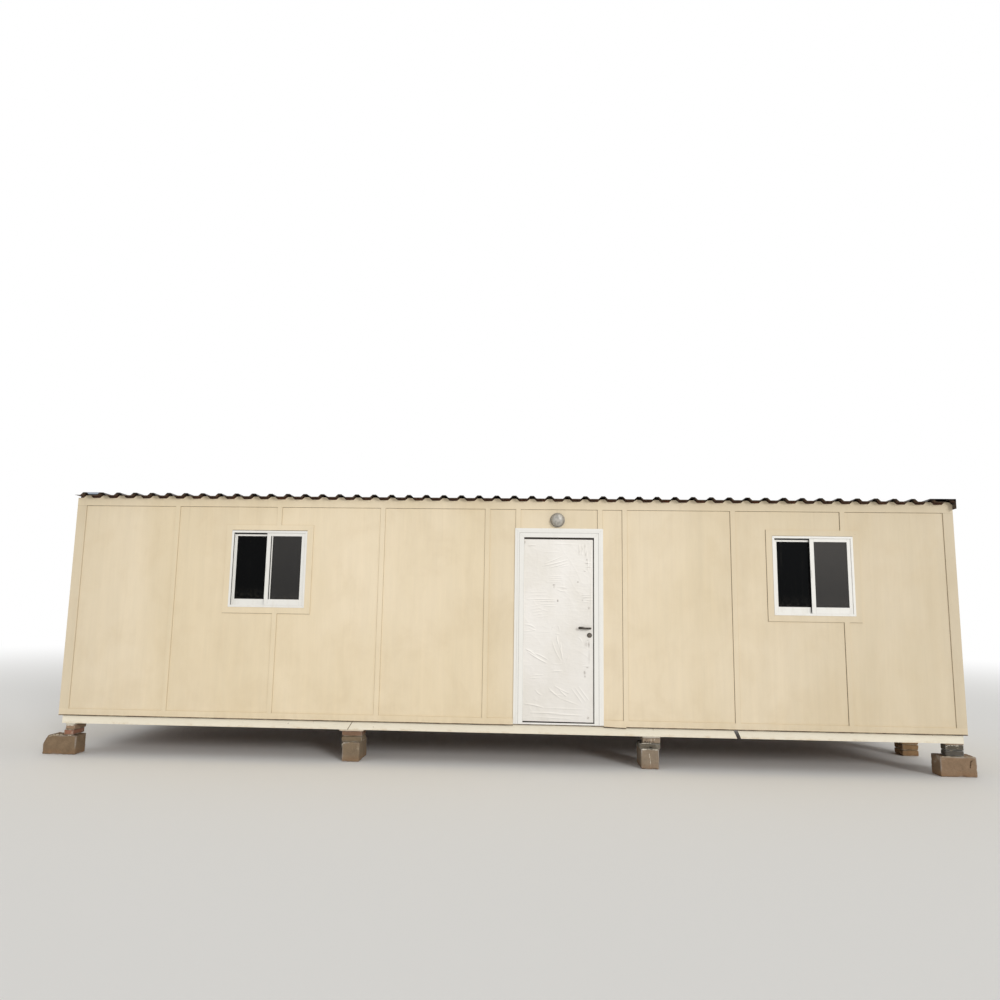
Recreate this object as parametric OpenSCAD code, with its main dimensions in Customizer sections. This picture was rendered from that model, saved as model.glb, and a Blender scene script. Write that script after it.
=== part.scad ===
// Portable site cabin: one room with a door, two sliding windows and a ribbed metal roof, standing on
// block and brick piers. Units are millimetres. +X runs along the front from left to right, +Y runs
// from the front to the rear, and the origin is on the ground under the middle of the whole outline.

/* [Cabin] */
// Width of one cladding board
board_w = 1220; // [1100:10:1250]
// Distance between the two board joints beside the door
door_bay_w = 1570; // [1450:5:1800]
// Number of boards left of the door bay
boards_left = 4; // [3:1:6]
// Number of boards right of the door bay
boards_right = 3; // [3:1:6]
// Depth of the cabin from the front trims to the rear trims
cabin_w = 3000; // [2600:10:3400]
// Height of the front wall, from its lower edge to the top of the head trim
wall_h = 2500; // [2450:10:2800]
// Thickness of the wall frame with its lining
wall_t = 52; // [45:1:100]
// Thickness of the cladding boards
board_t = 9; // [6:0.5:12]
// Open joint between two cladding boards
board_gap = 3; // [2:0.5:6]

/* [Trims] */
// Thickness of every trim and cover strip
strip_t = 9; // [6:0.5:12]
// Width of the strips over the board joints
strip_w = 54; // [40:1:80]
// Width of each leg of the corner trims
corner_w = 110; // [80:1:140]
// Height of the head trim under the roof
head_h = 90; // [80:1:140]
// Height of the base trim
base_h = 65; // [50:1:90]
// Drop of the short base trim right of the door at its far end
base_droop = 10; // [2:1:15]
// Width of the trim around each window
surround_w = 68; // [50:1:90]

/* [Windows] */
// Width of a window frame
window_w = 890; // [700:5:1000]
// Height of a window frame
window_h = 885; // [700:5:1000]
// Height of the windows' lower edge over the walls' lower edge
window_z = 1245; // [1000:5:1350]
// Distance from the left corner to the middle of the left window
left_window_in = 2336; // [1200:2:2500]
// Distance from the right corner to the middle of the right window
right_window_in = 1562; // [1200:2:2400]
// Face width of the window frames
window_face = 24; // [18:1:32]
// Distance that the window frames stand out from the trims
window_proud = 4; // [1:1:10]
// Width of the outer stile of a front sash
front_stile = 39; // [30:1:60]
// Width of the outer stile of a rear sash
rear_stile = 30; // [24:1:60]
// Width of a sash's meeting stile
sash_meeting = 45; // [35:1:60]
// Overlap of the two sashes in a window
sash_overlap = 60; // [50:1:80]
// Height of a sash's top rail
sash_top = 36; // [30:1:60]
// Height of a sash's bottom rail
sash_bottom = 68; // [45:1:80]
// Thickness of a sash
sash_t = 20; // [16:1:22]
// Thickness of the window glass
glass_t = 5; // [3:0.5:6]

/* [Door] */
// Width of the door frame
door_frame_w = 1004; // [950:2:1100]
// Height of the door frame
door_frame_h = 2183; // [2100:1:2250]
// Distance of the door's middle to the right of the middle of its bay
door_off = 37; // [-60:1:60]
// Face width of the door frame
door_face = 104; // [95:1:120]
// Thickness of the door leaf
leaf_t = 40; // [35:1:45]
// Gap between the leaf's edges and the frame
leaf_gap = 7; // [6:0.5:9]
// Width of leaf hidden behind the frame's stops
leaf_lap = 10; // [6:0.5:14]
// Height of the door handle over the walls' lower edge
handle_z = 1070; // [950:5:1200]
// Length of the lever from the spindle to its tip
lever_l = 128; // [90:1:140]
// Height of the lever's grip
lever_h = 30; // [20:1:32]
// Distance from the leaf's edge to the spindle
spindle_in = 62; // [56:1:95]
// Distance from the spindle down to the lock cylinder
lock_drop = 80; // [72:1:110]

/* [Lamp] */
// Height of the lamp's middle over the door frame
lamp_up = 96; // [90:1:115]
// Radius of the lamp's dome
lamp_r = 84; // [60:1:85]
// Distance that the dome stands out
lamp_depth = 78; // [50:1:100]

/* [Roof] */
// Fall of the roof from front to rear
roof_fall = 100; // [60:5:140]
// Overhang of the roof sheets at front and rear
roof_over = 80; // [40:5:200]
// Distance between two ribs of the roof sheets
rib_pitch = 202.7; // [180:0.1:220]
// Height of the ribs
rib_h = 30; // [20:1:40]
// Width of a rib at its top
rib_top = 40; // [30:1:50]
// Width of a rib at its foot
rib_base = 104; // [90:1:120]
// Distance from the left corner to the middle of the first rib
first_rib = 120; // [100:1:160]
// Thickness of the roof sheets and flashings
sheet_t = 1; // [0.7:0.1:2]
// Gap between the head trim and the roof sheets
sheet_gap = 22; // [10:1:30]
// Height of the hanging leg of the verge flashings
verge_h = 107; // [80:1:125]
// Height of the roof purlins
purlin_h = 40; // [30:1:60]
// Height of the roof rafters
rafter_h = 80; // [60:1:120]
// Thickness of the ceiling panel
ceiling_t = 10; // [6:1:20]

/* [Base frame] */
// Height of the base rails
rail_h = 100; // [80:1:140]
// Width of the rails' flanges
rail_w = 50; // [40:1:60]
// Thickness of the rails' steel
rail_t = 5; // [4:0.5:8]
// Distance from the trims' face in to the base rails
rail_in = 26; // [20:1:40]
// Distance from the corners in to the ends of the base rails
rail_end_in = 35; // [25:1:60]
// Distance from the left corner to the left splice of the base rails
left_splice_in = 3370; // [2600:10:4000]
// Distance from the right corner to the right splice of the base rails
right_splice_in = 2450; // [1800:10:3200]
// Width of the open splice in the front rail
open_splice_gap = 44; // [6:1:50]
// Thickness of the floor deck
deck_t = 18; // [12:1:25]

/* [Piers] */
// Length of a concrete block
block_l = 390; // [360:5:400]
// Width of a concrete block
block_w = 200; // [180:5:220]
// Height of a concrete block
block_h = 215; // [180:5:220]
// Length of a brick
brick_l = 230; // [215:1:235]
// Length of a cut brick
cut_brick_l = 195; // [180:1:210]
// Width of a brick
brick_w = 108; // [100:1:112]
// Height of a brick
brick_h = 60; // [50:1:70]
// Thickness of the packing plates
shim_t = 15; // [10:1:25]
// Distance that the left corner's blocks stand out past the wall
pier_out_left = 175; // [100:5:200]
// Distance that the right corner's blocks stand out past the wall
pier_out_right = 95; // [80:5:200]
// Distance from the left corner to the second pair of piers
pier_left_in = 3384; // [3000:2:3800]
// Distance from the right corner to the third pair of piers
pier_right_in = 3398; // [3000:2:3800]
// Distance from the front to the brick pier under the right end
side_pier_in = 1170; // [700:10:1800]

/* [Hidden] */
$fn = 48;
cream = [0.87, 0.81, 0.70];
rail_cream = [0.90, 0.87, 0.79];
white = [0.93, 0.93, 0.91];
roof_dark = [0.13, 0.11, 0.10];
steel_brown = [0.24, 0.17, 0.13];
steel = [0.62, 0.62, 0.63];
concrete = [0.55, 0.51, 0.46];
brick_red = [0.58, 0.44, 0.36];
timber = [0.66, 0.52, 0.36];
dark_glass = [0.12, 0.13, 0.13];

// Distance by which a cutting shape runs past the solid that it cuts
cut = 5;
// Clearance between pieces that lie on or in each other
seat = 0.5;
// Clearance under sloping pieces that bear on what is below
bed = 0.1;
// Depth to which welded steel pieces run into each other
weld = 2;

// Outline of the cabin
cabin_l = (boards_left + boards_right) * board_w + door_bay_w;
x_left = -(cabin_l + pier_out_left + pier_out_right) / 2 + pier_out_left;
x_right = x_left + cabin_l;
y_front = -cabin_w / 2;
y_rear = cabin_w / 2;
skin_t = strip_t + board_t;
x_core_left = x_left + skin_t;
x_core_right = x_right - skin_t;
y_core_front = y_front + skin_t;
y_core_rear = y_rear - skin_t;
x_room_left = x_core_left + wall_t;
x_room_right = x_core_right - wall_t;
y_room_front = y_core_front + wall_t;
y_room_rear = y_core_rear - wall_t;

// Levels
z_rail = block_h + 2 * brick_h + shim_t;
z_wall = z_rail + rail_h;
z_floor = z_wall + deck_t;
z_head = z_wall + wall_h;
fall = roof_fall / cabin_w;
fall_angle = atan(fall);
ceiling_drop = purlin_h + rafter_h;
strip_drop = sheet_gap + head_h + seat;
function roof_z(y) = z_head + sheet_gap - fall * (y - y_front);
function trim_top(y) = roof_z(y) - sheet_gap;

// Joints between the boards, from the left corner
bay_start = x_left + boards_left * board_w;
bay_end = bay_start + door_bay_w;
front_joints = concat(
    [for (i = [1:boards_left]) x_left + i * board_w],
    [for (i = [0:boards_right - 1]) bay_end + i * board_w]
);
rear_joints = [for (x = [x_left + board_w:board_w:x_right - corner_w - strip_w]) x];
end_joints = [for (y = [y_front + board_w:board_w:y_rear - corner_w - strip_w]) y];

// Windows
left_window_x = x_left + left_window_in;
right_window_x = x_right - right_window_in;
z_window = z_wall + window_z;
z_window_top = z_window + window_h;
y_window = y_front - window_proud;
window_clear = 2;
sash_clear = 1;
track_rib_t = 3;
track_rib_h = 10;
front_lip_t = 8;
y_outer_sash = y_window + front_lip_t + sash_clear;
y_track_rib = y_outer_sash + sash_t + sash_clear;
y_inner_sash = y_track_rib + track_rib_t + sash_clear;
sash_w = (window_w - 2 * window_face + sash_overlap) / 2 - sash_clear;
sash_h = window_h - 2 * window_face - 2 * sash_clear;
glass_lap = 8;

// Door
door_x = (bay_start + bay_end) / 2 + door_off;
door_lift = 8;
door_proud = 8;
z_door = z_wall + door_lift;
z_door_top = z_door + door_frame_h;
y_door = y_front - door_proud;
over_strip_in = 34;
flange_w = 46;
groove_w = 2;
stop_t = 8;
stop_gap = 5;
y_leaf = y_door + stop_t + stop_gap;
y_leaf_back = y_leaf + leaf_t;
step_1 = 30;
step_2 = 52;
low_face = 4;
inner_face = 2;
clear_w = door_frame_w - 2 * door_face;
leaf_w = clear_w + 2 * leaf_lap;
box_in = door_face - leaf_lap - leaf_gap;
sill_h = 26;
z_sill = z_wall + sill_h;
z_leaf = z_sill + leaf_gap;
z_leaf_top = z_door_top - door_face + leaf_lap;
x_leaf = door_x - leaf_w / 2;
x_leaf_right = door_x + leaf_w / 2;
x_spindle = x_leaf_right - spindle_in;
z_spindle = z_wall + handle_z;
z_lock = z_spindle - lock_drop;
rose_r = 13;
rose_t = 7;
lock_r = 27;
lock_core_r = 9;
core_proud = 3;
neck_r = 8;
neck_l = 34;
bore_r = 9;
spindle_w = 8;
grip_t = 16;
grip_out = 4;

// Hinges: the axis lies behind the leaf, in the middle of the gap at its left edge
hinge_r = 7;
hinge_h = 100;
hinge_plate_w = 32;
hinge_plate_t = 2.5;
hinge_pin_r = 3;
hinge_bore_r = 3.08;
hinge_gap = 1;
hinge_in = 180;
hinge_x = x_leaf - leaf_gap / 2;
hinge_y = y_leaf_back + hinge_r;
hinge_levels = [z_leaf + hinge_in, (z_leaf + z_leaf_top) / 2, z_leaf_top - hinge_in];

// Lamp
lamp_off = -18;
lamp_x = door_x + lamp_off;
z_lamp = z_door_top + lamp_up;
lamp_rim = 12;
lamp_base_r = lamp_r - lamp_rim;
lamp_base_t = 16;
lamp_wall = 3;

// Roof sheets
ribs_per_sheet = 5;
hump_side = 6;
lap_gap = 0.3;
sheet_edge = 3;
capping_lap = 15;
capping_lip = 22;
capping_lip_gap = 4;
lap_up = sheet_t + lap_gap;
rib_count = floor((cabin_l - first_rib - rib_base / 2 - sheet_edge) / rib_pitch) + 1;
sheet_count = ceil((rib_count - 1) / ribs_per_sheet);
flank = (rib_base - rib_top) / 2;
flank_middle = (rib_base + rib_top) / 4;
function rib_x(i) = x_left + first_rib + i * rib_pitch;

// Base frame
x_rail_left = x_left + rail_end_in;
x_rail_right = x_right - rail_end_in;
y_rail_front = y_front + rail_in;
y_rail_rear = y_rear - rail_in;
joist_pitch = 610;
joist_count = floor((x_rail_right - x_rail_left - rail_w) / joist_pitch);
joist_step = (x_rail_right - x_rail_left - rail_w) / joist_count;
left_splice_x = x_left + left_splice_in;
right_splice_x = x_right - right_splice_in;
splice_gap = 6;
splice_lean = 60;
open_splice_lean = 48;

// Piers. Each row: the x of the block and true where it lies along the front, then the x, width, depth
// and number of rows of its lower bricks, its upper bricks and its packing plate
block_in = 30;
brick_gap = 4;
// Distances from the middle of a block to the right, to the middles of the bricks on it
brick_x = [100, 114, 8, -2, 16, -35];
plate_over = 42;
plate_l = 90;
pier_1_x = x_left - pier_out_left + block_l / 2;
pier_2_x = x_left + pier_left_in;
pier_3_x = x_right - pier_right_in;
pier_4_x = x_right + pier_out_right - block_l / 2;
piers = [
    [
        pier_1_x, true,
        [pier_1_x + brick_x[0], brick_w, brick_l, 1],
        [pier_1_x + brick_x[1], brick_w, brick_l, 1],
        [pier_1_x + brick_x[1], brick_w, plate_l, 1]
    ],
    [
        pier_2_x, false,
        [pier_2_x + brick_x[2], brick_l, brick_w, 2],
        [pier_2_x + brick_x[2], brick_l, brick_w, 2],
        [pier_2_x, brick_l + plate_over, plate_l, 1]
    ],
    [
        pier_3_x, false,
        [pier_3_x + brick_x[3], brick_l, brick_w, 2],
        [pier_3_x + brick_x[4], cut_brick_l, brick_w, 2],
        [pier_3_x + brick_x[4], cut_brick_l, plate_l, 1]
    ],
    [
        pier_4_x, true,
        [pier_4_x + brick_x[5], cut_brick_l, brick_w, 1],
        [pier_4_x + brick_x[5], cut_brick_l, brick_w, 1],
        [pier_4_x + brick_x[5], cut_brick_l, plate_l, 1]
    ]
];
side_pier_x = x_rail_right - rail_w / 2;
side_courses = 5;
side_lower = 3;
side_course_h = (block_h + 2 * brick_h) / side_courses;

// A box between two corners
module span(low, high) {
    translate(low)
        cube(high - low);
}

// A wall slab with a level foot and its top parallel to the roof, a distance below the sheets
module wedge(x1, x2, y1, y2, z_low, drop) {
    translate([x1, 0, 0])
        rotate([90, 0, 90])
            linear_extrude(x2 - x1)
                polygon([
                    [y1, z_low],
                    [y2, z_low],
                    [y2, roof_z(y2) - drop],
                    [y1, roof_z(y1) - drop]
                ]);
}

// A slab with both faces parallel to the roof
module slope_slab(x1, x2, y1, y2, top_drop, bottom_drop) {
    translate([x1, 0, 0])
        rotate([90, 0, 90])
            linear_extrude(x2 - x1)
                polygon([
                    [y1, roof_z(y1) - bottom_drop],
                    [y2, roof_z(y2) - bottom_drop],
                    [y2, roof_z(y2) - top_drop],
                    [y1, roof_z(y1) - top_drop]
                ]);
}

// The hole in wall and cladding for one window
module window_hole(x) {
    span(
        [x - window_w / 2 - window_clear, y_front - cut, z_window - window_clear],
        [x + window_w / 2 + window_clear, y_room_front + cut, z_window_top + window_clear]
    );
}

// The hole in the cladding for the door frame
module door_hole() {
    half = door_frame_w / 2 - flange_w;
    span(
        [door_x - half, y_front - cut, z_wall - cut],
        [door_x + half, y_room_front + cut, z_door_top - flange_w]
    );
}

module front_wall_left() {
    color(cream)
        difference() {
            wedge(
                x_core_left, door_x - door_frame_w / 2 + flange_w, y_core_front, y_room_front,
                z_floor, purlin_h + bed
            );
            window_hole(left_window_x);
        }
}

module front_wall_right() {
    color(cream)
        difference() {
            wedge(
                door_x + door_frame_w / 2 - flange_w, x_core_right, y_core_front, y_room_front,
                z_floor, purlin_h + bed
            );
            window_hole(right_window_x);
        }
}

module front_wall_over_door() {
    color(cream)
        wedge(
            door_x - door_frame_w / 2 + flange_w, door_x + door_frame_w / 2 - flange_w,
            y_core_front, y_room_front, z_door_top - flange_w, purlin_h + bed
        );
}

module rear_wall() {
    color(cream)
        wedge(x_core_left, x_core_right, y_room_rear, y_core_rear, z_floor, purlin_h + bed);
}

module left_end_wall() {
    color(cream)
        wedge(x_core_left, x_room_left, y_room_front, y_room_rear, z_floor, purlin_h + bed);
}

module right_end_wall() {
    color(cream)
        wedge(x_room_right, x_core_right, y_room_front, y_room_rear, z_floor, purlin_h + bed);
}

// Boards side by side along X, with open joints at the given places
module long_boards(joints, y1, y2) {
    starts = concat([x_left + strip_t - board_gap / 2], joints);
    ends = concat(joints, [x_right - strip_t + board_gap / 2]);
    for (i = [0:len(starts) - 1])
        wedge(starts[i] + board_gap / 2, ends[i] - board_gap / 2, y1, y2, z_wall, sheet_gap);
}

module front_cladding() {
    color(cream)
        difference() {
            long_boards(front_joints, y_front + strip_t, y_core_front);
            window_hole(left_window_x);
            window_hole(right_window_x);
            door_hole();
        }
}

module rear_cladding() {
    color(cream)
        long_boards(rear_joints, y_core_rear, y_rear - strip_t);
}

module end_boards(x1, x2) {
    starts = concat([y_core_front + board_gap / 2], end_joints);
    ends = concat(end_joints, [y_core_rear - board_gap / 2]);
    for (i = [0:len(starts) - 1])
        wedge(x1, x2, starts[i] + board_gap / 2, ends[i] - board_gap / 2, z_wall, sheet_gap);
}

module end_cladding() {
    color(cream) {
        end_boards(x_left + strip_t, x_core_left);
        end_boards(x_core_right, x_right - strip_t);
    }
}

// True where a joint at x runs into the trim of a window
function meets_window(x) =
    abs(x - left_window_x) < window_w / 2 + surround_w + strip_w
    || abs(x - right_window_x) < window_w / 2 + surround_w + strip_w;

module front_strip(x, z_low, z_high) {
    span([x - strip_w / 2, y_front, z_low], [x + strip_w / 2, y_front + strip_t, z_high]);
}

module cover_strips() {
    z_low = z_wall + base_h;
    z_high = z_head - head_h;
    over_door_x = door_frame_w / 2 - over_strip_in;
    color(cream) {
        for (x = front_joints) {
            if (meets_window(x)) {
                front_strip(x, z_low, z_window - surround_w);
                front_strip(x, z_window_top + surround_w, z_high);
            } else {
                front_strip(x, z_low, z_high);
            }
        }
        for (side = [-1, 1])
            front_strip(door_x + side * over_door_x, z_door_top, z_high);
        for (x = rear_joints)
            wedge(x - strip_w / 2, x + strip_w / 2, y_rear - strip_t, y_rear, z_low, strip_drop);
        for (y = end_joints, x = [x_left, x_right - strip_t])
            wedge(x, x + strip_t, y - strip_w / 2, y + strip_w / 2, z_low, strip_drop);
    }
}

// One corner trim: a leg on the long side and a leg on the end, joined at the corner
module corner_trim(x1, x2, x_end, y1, y2, y_long) {
    wedge(x1, x2, y_long, y_long + strip_t, z_wall + base_h, strip_drop);
    wedge(x_end, x_end + strip_t, y1, y2, z_wall + base_h, strip_drop);
}

module corner_trims() {
    color(cream)
        for (left = [true, false], front = [true, false])
            corner_trim(
                left ? x_left : x_right - corner_w,
                left ? x_left + corner_w : x_right,
                left ? x_left : x_right - strip_t,
                front ? y_front : y_rear - corner_w,
                front ? y_front + corner_w : y_rear,
                front ? y_front : y_rear - strip_t
            );
}

// The head trim's face: level below, cut to the ribs above
function hump(i, z) = [
    [rib_x(i) - rib_base / 2 - hump_side, z],
    [rib_x(i) - rib_top / 2 - hump_side, z + rib_h],
    [rib_x(i) + rib_top / 2 + hump_side, z + rib_h],
    [rib_x(i) + rib_base / 2 + hump_side, z]
];

module head_trim(y, z_top) {
    translate([0, y + strip_t, 0])
        rotate([90, 0, 0])
            linear_extrude(strip_t)
                polygon(concat(
                    [[x_right, z_top], [x_right, z_top - head_h]],
                    [[x_left, z_top - head_h], [x_left, z_top]],
                    [for (i = [0:rib_count - 1]) each hump(i, z_top)]
                ));
}

module head_trims() {
    color(cream) {
        head_trim(y_front, z_head);
        head_trim(y_rear - strip_t, trim_top(y_rear));
        for (x = [x_left, x_right - strip_t])
            slope_slab(
                x, x + strip_t, y_front + strip_t + seat, y_rear - strip_t - seat,
                sheet_gap, sheet_gap + head_h
            );
    }
}

module base_trims() {
    door_left = door_x - door_frame_w / 2 - seat;
    door_right = door_x + door_frame_w / 2 + seat;
    color(cream) {
        span([x_left, y_front, z_wall], [door_left, y_front + strip_t, z_wall + base_h]);
        span([bay_end + seat, y_front, z_wall], [x_right, y_front + strip_t, z_wall + base_h]);
        translate([0, y_front + strip_t, 0])
            rotate([90, 0, 0])
                linear_extrude(strip_t)
                    polygon([
                        [door_right, z_wall],
                        [bay_end, z_wall - base_droop],
                        [bay_end, z_wall + base_h],
                        [door_right, z_wall + base_h]
                    ]);
        span([x_left, y_rear - strip_t, z_wall], [x_right, y_rear, z_wall + base_h]);
        for (x = [x_left, x_right - strip_t])
            span(
                [x, y_front + strip_t + seat, z_wall],
                [x + strip_t, y_rear - strip_t - seat, z_wall + base_h]
            );
    }
}

module window_surround(x) {
    half = window_w / 2 + seat;
    difference() {
        span(
            [x - half - surround_w, y_front, z_window - surround_w],
            [x + half + surround_w, y_front + strip_t, z_window_top + surround_w]
        );
        span(
            [x - half, y_front - cut, z_window - seat],
            [x + half, y_front + strip_t + cut, z_window_top + seat]
        );
    }
}

module window_surrounds() {
    color(cream) {
        window_surround(left_window_x);
        window_surround(right_window_x);
    }
}

// A frame with two tracks, parted by a low rib
module window_frame(x) {
    half = window_w / 2;
    z_low = z_window + window_face;
    z_high = z_window_top - window_face;
    difference() {
        span([x - half, y_window, z_window], [x + half, y_room_front, z_window_top]);
        span(
            [x - half + window_face, y_window + front_lip_t, z_low],
            [x + half - window_face, y_track_rib, z_high]
        );
        span(
            [x - half + window_face, y_track_rib + track_rib_t, z_low],
            [x + half - window_face, y_inner_sash + sash_t + sash_clear, z_high]
        );
        span(
            [x - half + window_face + track_rib_h, y_window + cut, z_low + track_rib_h],
            [x + half - window_face - track_rib_h, y_room_front + cut, z_high - track_rib_h]
        );
        span(
            [x - half + window_face, y_window - cut, z_low],
            [x + half - window_face, y_window + front_lip_t + seat, z_high]
        );
    }
}

// A sash with its outer stile at x1 and its meeting stile at x2
module sash(x1, x2, y, stile) {
    z_low = z_window + window_face + sash_clear;
    z_high = z_low + sash_h;
    inner_1 = x1 + (x2 > x1 ? stile : -stile);
    inner_2 = x2 + (x2 > x1 ? -sash_meeting : sash_meeting);
    low = min(inner_1, inner_2);
    high = max(inner_1, inner_2);
    y_glass = y + (sash_t - glass_t) / 2;
    difference() {
        span([min(x1, x2), y, z_low], [max(x1, x2), y + sash_t, z_high]);
        span([low, y - cut, z_low + sash_bottom], [high, y + sash_t + cut, z_high - sash_top]);
        span(
            [low - glass_lap, y_glass, z_low + sash_bottom - glass_lap],
            [high + glass_lap, y_glass + glass_t, z_high - sash_top + glass_lap]
        );
    }
}

module pane(x1, x2, y, stile) {
    z_low = z_window + window_face + sash_clear;
    z_high = z_low + sash_h;
    inner_1 = x1 + (x2 > x1 ? stile : -stile);
    inner_2 = x2 + (x2 > x1 ? -sash_meeting : sash_meeting);
    lap = glass_lap - seat;
    y_glass = y + (sash_t - glass_t) / 2;
    span(
        [min(inner_1, inner_2) - lap, y_glass, z_low + sash_bottom - lap],
        [max(inner_1, inner_2) + lap, y_glass + glass_t, z_high - sash_top + lap]
    );
}

function sash_right(x) = x + window_w / 2 - window_face - sash_clear;
function sash_left(x) = x - window_w / 2 + window_face + sash_clear;

module outer_sash(x) {
    sash(sash_right(x), sash_right(x) - sash_w, y_outer_sash, front_stile);
}

module inner_sash(x) {
    sash(sash_left(x), sash_left(x) + sash_w, y_inner_sash, rear_stile);
}

module window_glass(x) {
    pane(sash_right(x), sash_right(x) - sash_w, y_outer_sash, front_stile);
    pane(sash_left(x), sash_left(x) + sash_w, y_inner_sash, rear_stile);
}

module left_window_frame() {
    color(white)
        window_frame(left_window_x);
}

module left_window_outer_sash() {
    color(white)
        outer_sash(left_window_x);
}

module left_window_inner_sash() {
    color(white)
        inner_sash(left_window_x);
}

module left_window_glass() {
    color(dark_glass)
        window_glass(left_window_x);
}

module right_window_frame() {
    color(white)
        window_frame(right_window_x);
}

module right_window_outer_sash() {
    color(white)
        outer_sash(right_window_x);
}

module right_window_inner_sash() {
    color(white)
        inner_sash(right_window_x);
}

module right_window_glass() {
    color(dark_glass)
        window_glass(right_window_x);
}

// Two jambs and a head, between two distances in from the door frame's outer edge
module door_ring(outer_in, inner_in, y1, y2, z_foot = z_door) {
    half = door_frame_w / 2;
    difference() {
        span([door_x - half + outer_in, y1, z_foot], [door_x + half - outer_in, y2, z_door_top - outer_in]);
        span(
            [door_x - half + inner_in, y1 - cut, z_door - cut],
            [door_x + half - inner_in, y2 + cut, z_door_top - inner_in]
        );
    }
}

module door_frame() {
    half = door_frame_w / 2;
    y_cladding = y_front + strip_t;
    y_low = y_door + low_face;
    color(white) {
        door_ring(0, step_1, y_low, y_cladding);
        door_ring(step_1 - weld, step_2, y_low, y_door + stop_t);
        door_ring(step_1 + groove_w, step_2 - groove_w, y_door, y_door + stop_t);
        door_ring(step_2 - weld, door_face, y_door + inner_face, y_door + stop_t);
        door_ring(flange_w, box_in, y_low, y_leaf_back, z_floor);
        door_ring(step_1 - weld, flange_w + weld, y_low, y_cladding);
        span([door_x - half + step_1, y_low, z_door], [door_x + half - step_1, y_cladding, z_sill]);
        span(
            [door_x - half + flange_w, y_low, z_floor],
            [door_x + half - flange_w, y_leaf_back, z_sill]
        );
    }
}

// Knuckles and pin of one hinge, on the frame
module frame_hinge(z) {
    knuckle = hinge_h / 3 - seat;
    span(
        [hinge_x - leaf_gap / 2 - hinge_plate_w, y_leaf_back, z],
        [hinge_x - hinge_r - hinge_gap, y_leaf_back + hinge_plate_t, z + hinge_h]
    );
    for (level = [z, z + hinge_h - knuckle]) {
        translate([hinge_x, hinge_y, level])
            cylinder(h = knuckle, r = hinge_r);
        span(
            [hinge_x - hinge_r - weld, y_leaf_back, level],
            [hinge_x, y_leaf_back + hinge_plate_t, level + knuckle]
        );
    }
    translate([hinge_x, hinge_y, z])
        cylinder(h = hinge_h, r = hinge_pin_r);
}

module frame_hinges() {
    color(steel)
        for (z = hinge_levels)
            frame_hinge(z - hinge_h / 2);
}

// Middle knuckle of one hinge, on the leaf
module leaf_hinge(z) {
    knuckle = hinge_h / 3 - 2 * seat;
    z_knuckle = z + (hinge_h - knuckle) / 2;
    difference() {
        union() {
            translate([hinge_x, hinge_y, z_knuckle])
                cylinder(h = knuckle, r = hinge_r);
            span(
                [hinge_x, y_leaf_back, z_knuckle],
                [hinge_x + hinge_r + weld, y_leaf_back + hinge_plate_t, z_knuckle + knuckle]
            );
            span(
                [hinge_x + hinge_r + hinge_gap, y_leaf_back, z],
                [hinge_x + leaf_gap / 2 + hinge_plate_w, y_leaf_back + hinge_plate_t, z + hinge_h]
            );
        }
        translate([hinge_x, hinge_y, z_knuckle - cut])
            cylinder(h = knuckle + 2 * cut, r = hinge_bore_r);
    }
}

module leaf_hinges() {
    color(steel)
        for (z = hinge_levels)
            leaf_hinge(z - hinge_h / 2);
}

// A round bar along Y
module bar_y(x, z, y1, y2, r) {
    translate([x, y1, z])
        rotate([-90, 0, 0])
            cylinder(h = y2 - y1, r = r);
}

module door_leaf() {
    color(white)
        difference() {
            span([x_leaf, y_leaf, z_leaf], [x_leaf_right, y_leaf_back, z_leaf_top]);
            bar_y(x_spindle, z_spindle, y_leaf - cut, y_leaf_back + cut, bore_r);
            bar_y(x_spindle, z_lock, y_leaf - cut, y_leaf_back + cut, lock_core_r + seat);
        }
}

module door_roses() {
    color(steel) {
        for (y = [y_leaf - rose_t, y_leaf_back])
            difference() {
                bar_y(x_spindle, z_spindle, y, y + rose_t, rose_r);
                bar_y(x_spindle, z_spindle, y - cut, y + rose_t + cut, bore_r);
            }
        union() {
            bar_y(x_spindle, z_lock, y_leaf - rose_t, y_leaf, lock_r);
            bar_y(x_spindle, z_lock, y_leaf_back, y_leaf_back + rose_t, lock_r);
            bar_y(
                x_spindle, z_lock, y_leaf - rose_t - core_proud, y_leaf_back + rose_t + core_proud,
                lock_core_r
            );
        }
    }
}

// One lever: a neck out of the leaf and a flat grip with round ends, towards the hinges
module lever(y_face, out) {
    y_grip = y_face + out * neck_l;
    y_end = y_grip + out * grip_t;
    low = min(y_grip, y_end);
    high = max(y_grip, y_end);
    grip_r = lever_h / 2;
    x_tip = x_spindle - lever_l + grip_r;
    x_butt = x_spindle + grip_out;
    bar_y(x_spindle, z_spindle, min(y_face, y_grip) - weld, max(y_face, y_grip) + weld, neck_r);
    bar_y(x_tip, z_spindle, low, high, grip_r);
    bar_y(x_butt, z_spindle, low, high, grip_r);
    span([x_tip, low, z_spindle - grip_r], [x_butt, high, z_spindle + grip_r]);
}

module door_lever() {
    color(steel) {
        lever(y_leaf, -1);
        lever(y_leaf_back, 1);
        span(
            [x_spindle - spindle_w / 2, y_leaf, z_spindle - spindle_w / 2],
            [x_spindle + spindle_w / 2, y_leaf_back, z_spindle + spindle_w / 2]
        );
    }
}

module lamp_base() {
    y_cladding = y_front + strip_t;
    color(white)
        bar_y(lamp_x, z_lamp, y_cladding - lamp_base_t, y_cladding, lamp_base_r);
}

// Outline of the dome at a height h over its rim, for a given radius and depth
function dome(r, d) = [for (a = [0:7.5:90]) [r * cos(a), d * sin(a)]];

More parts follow.
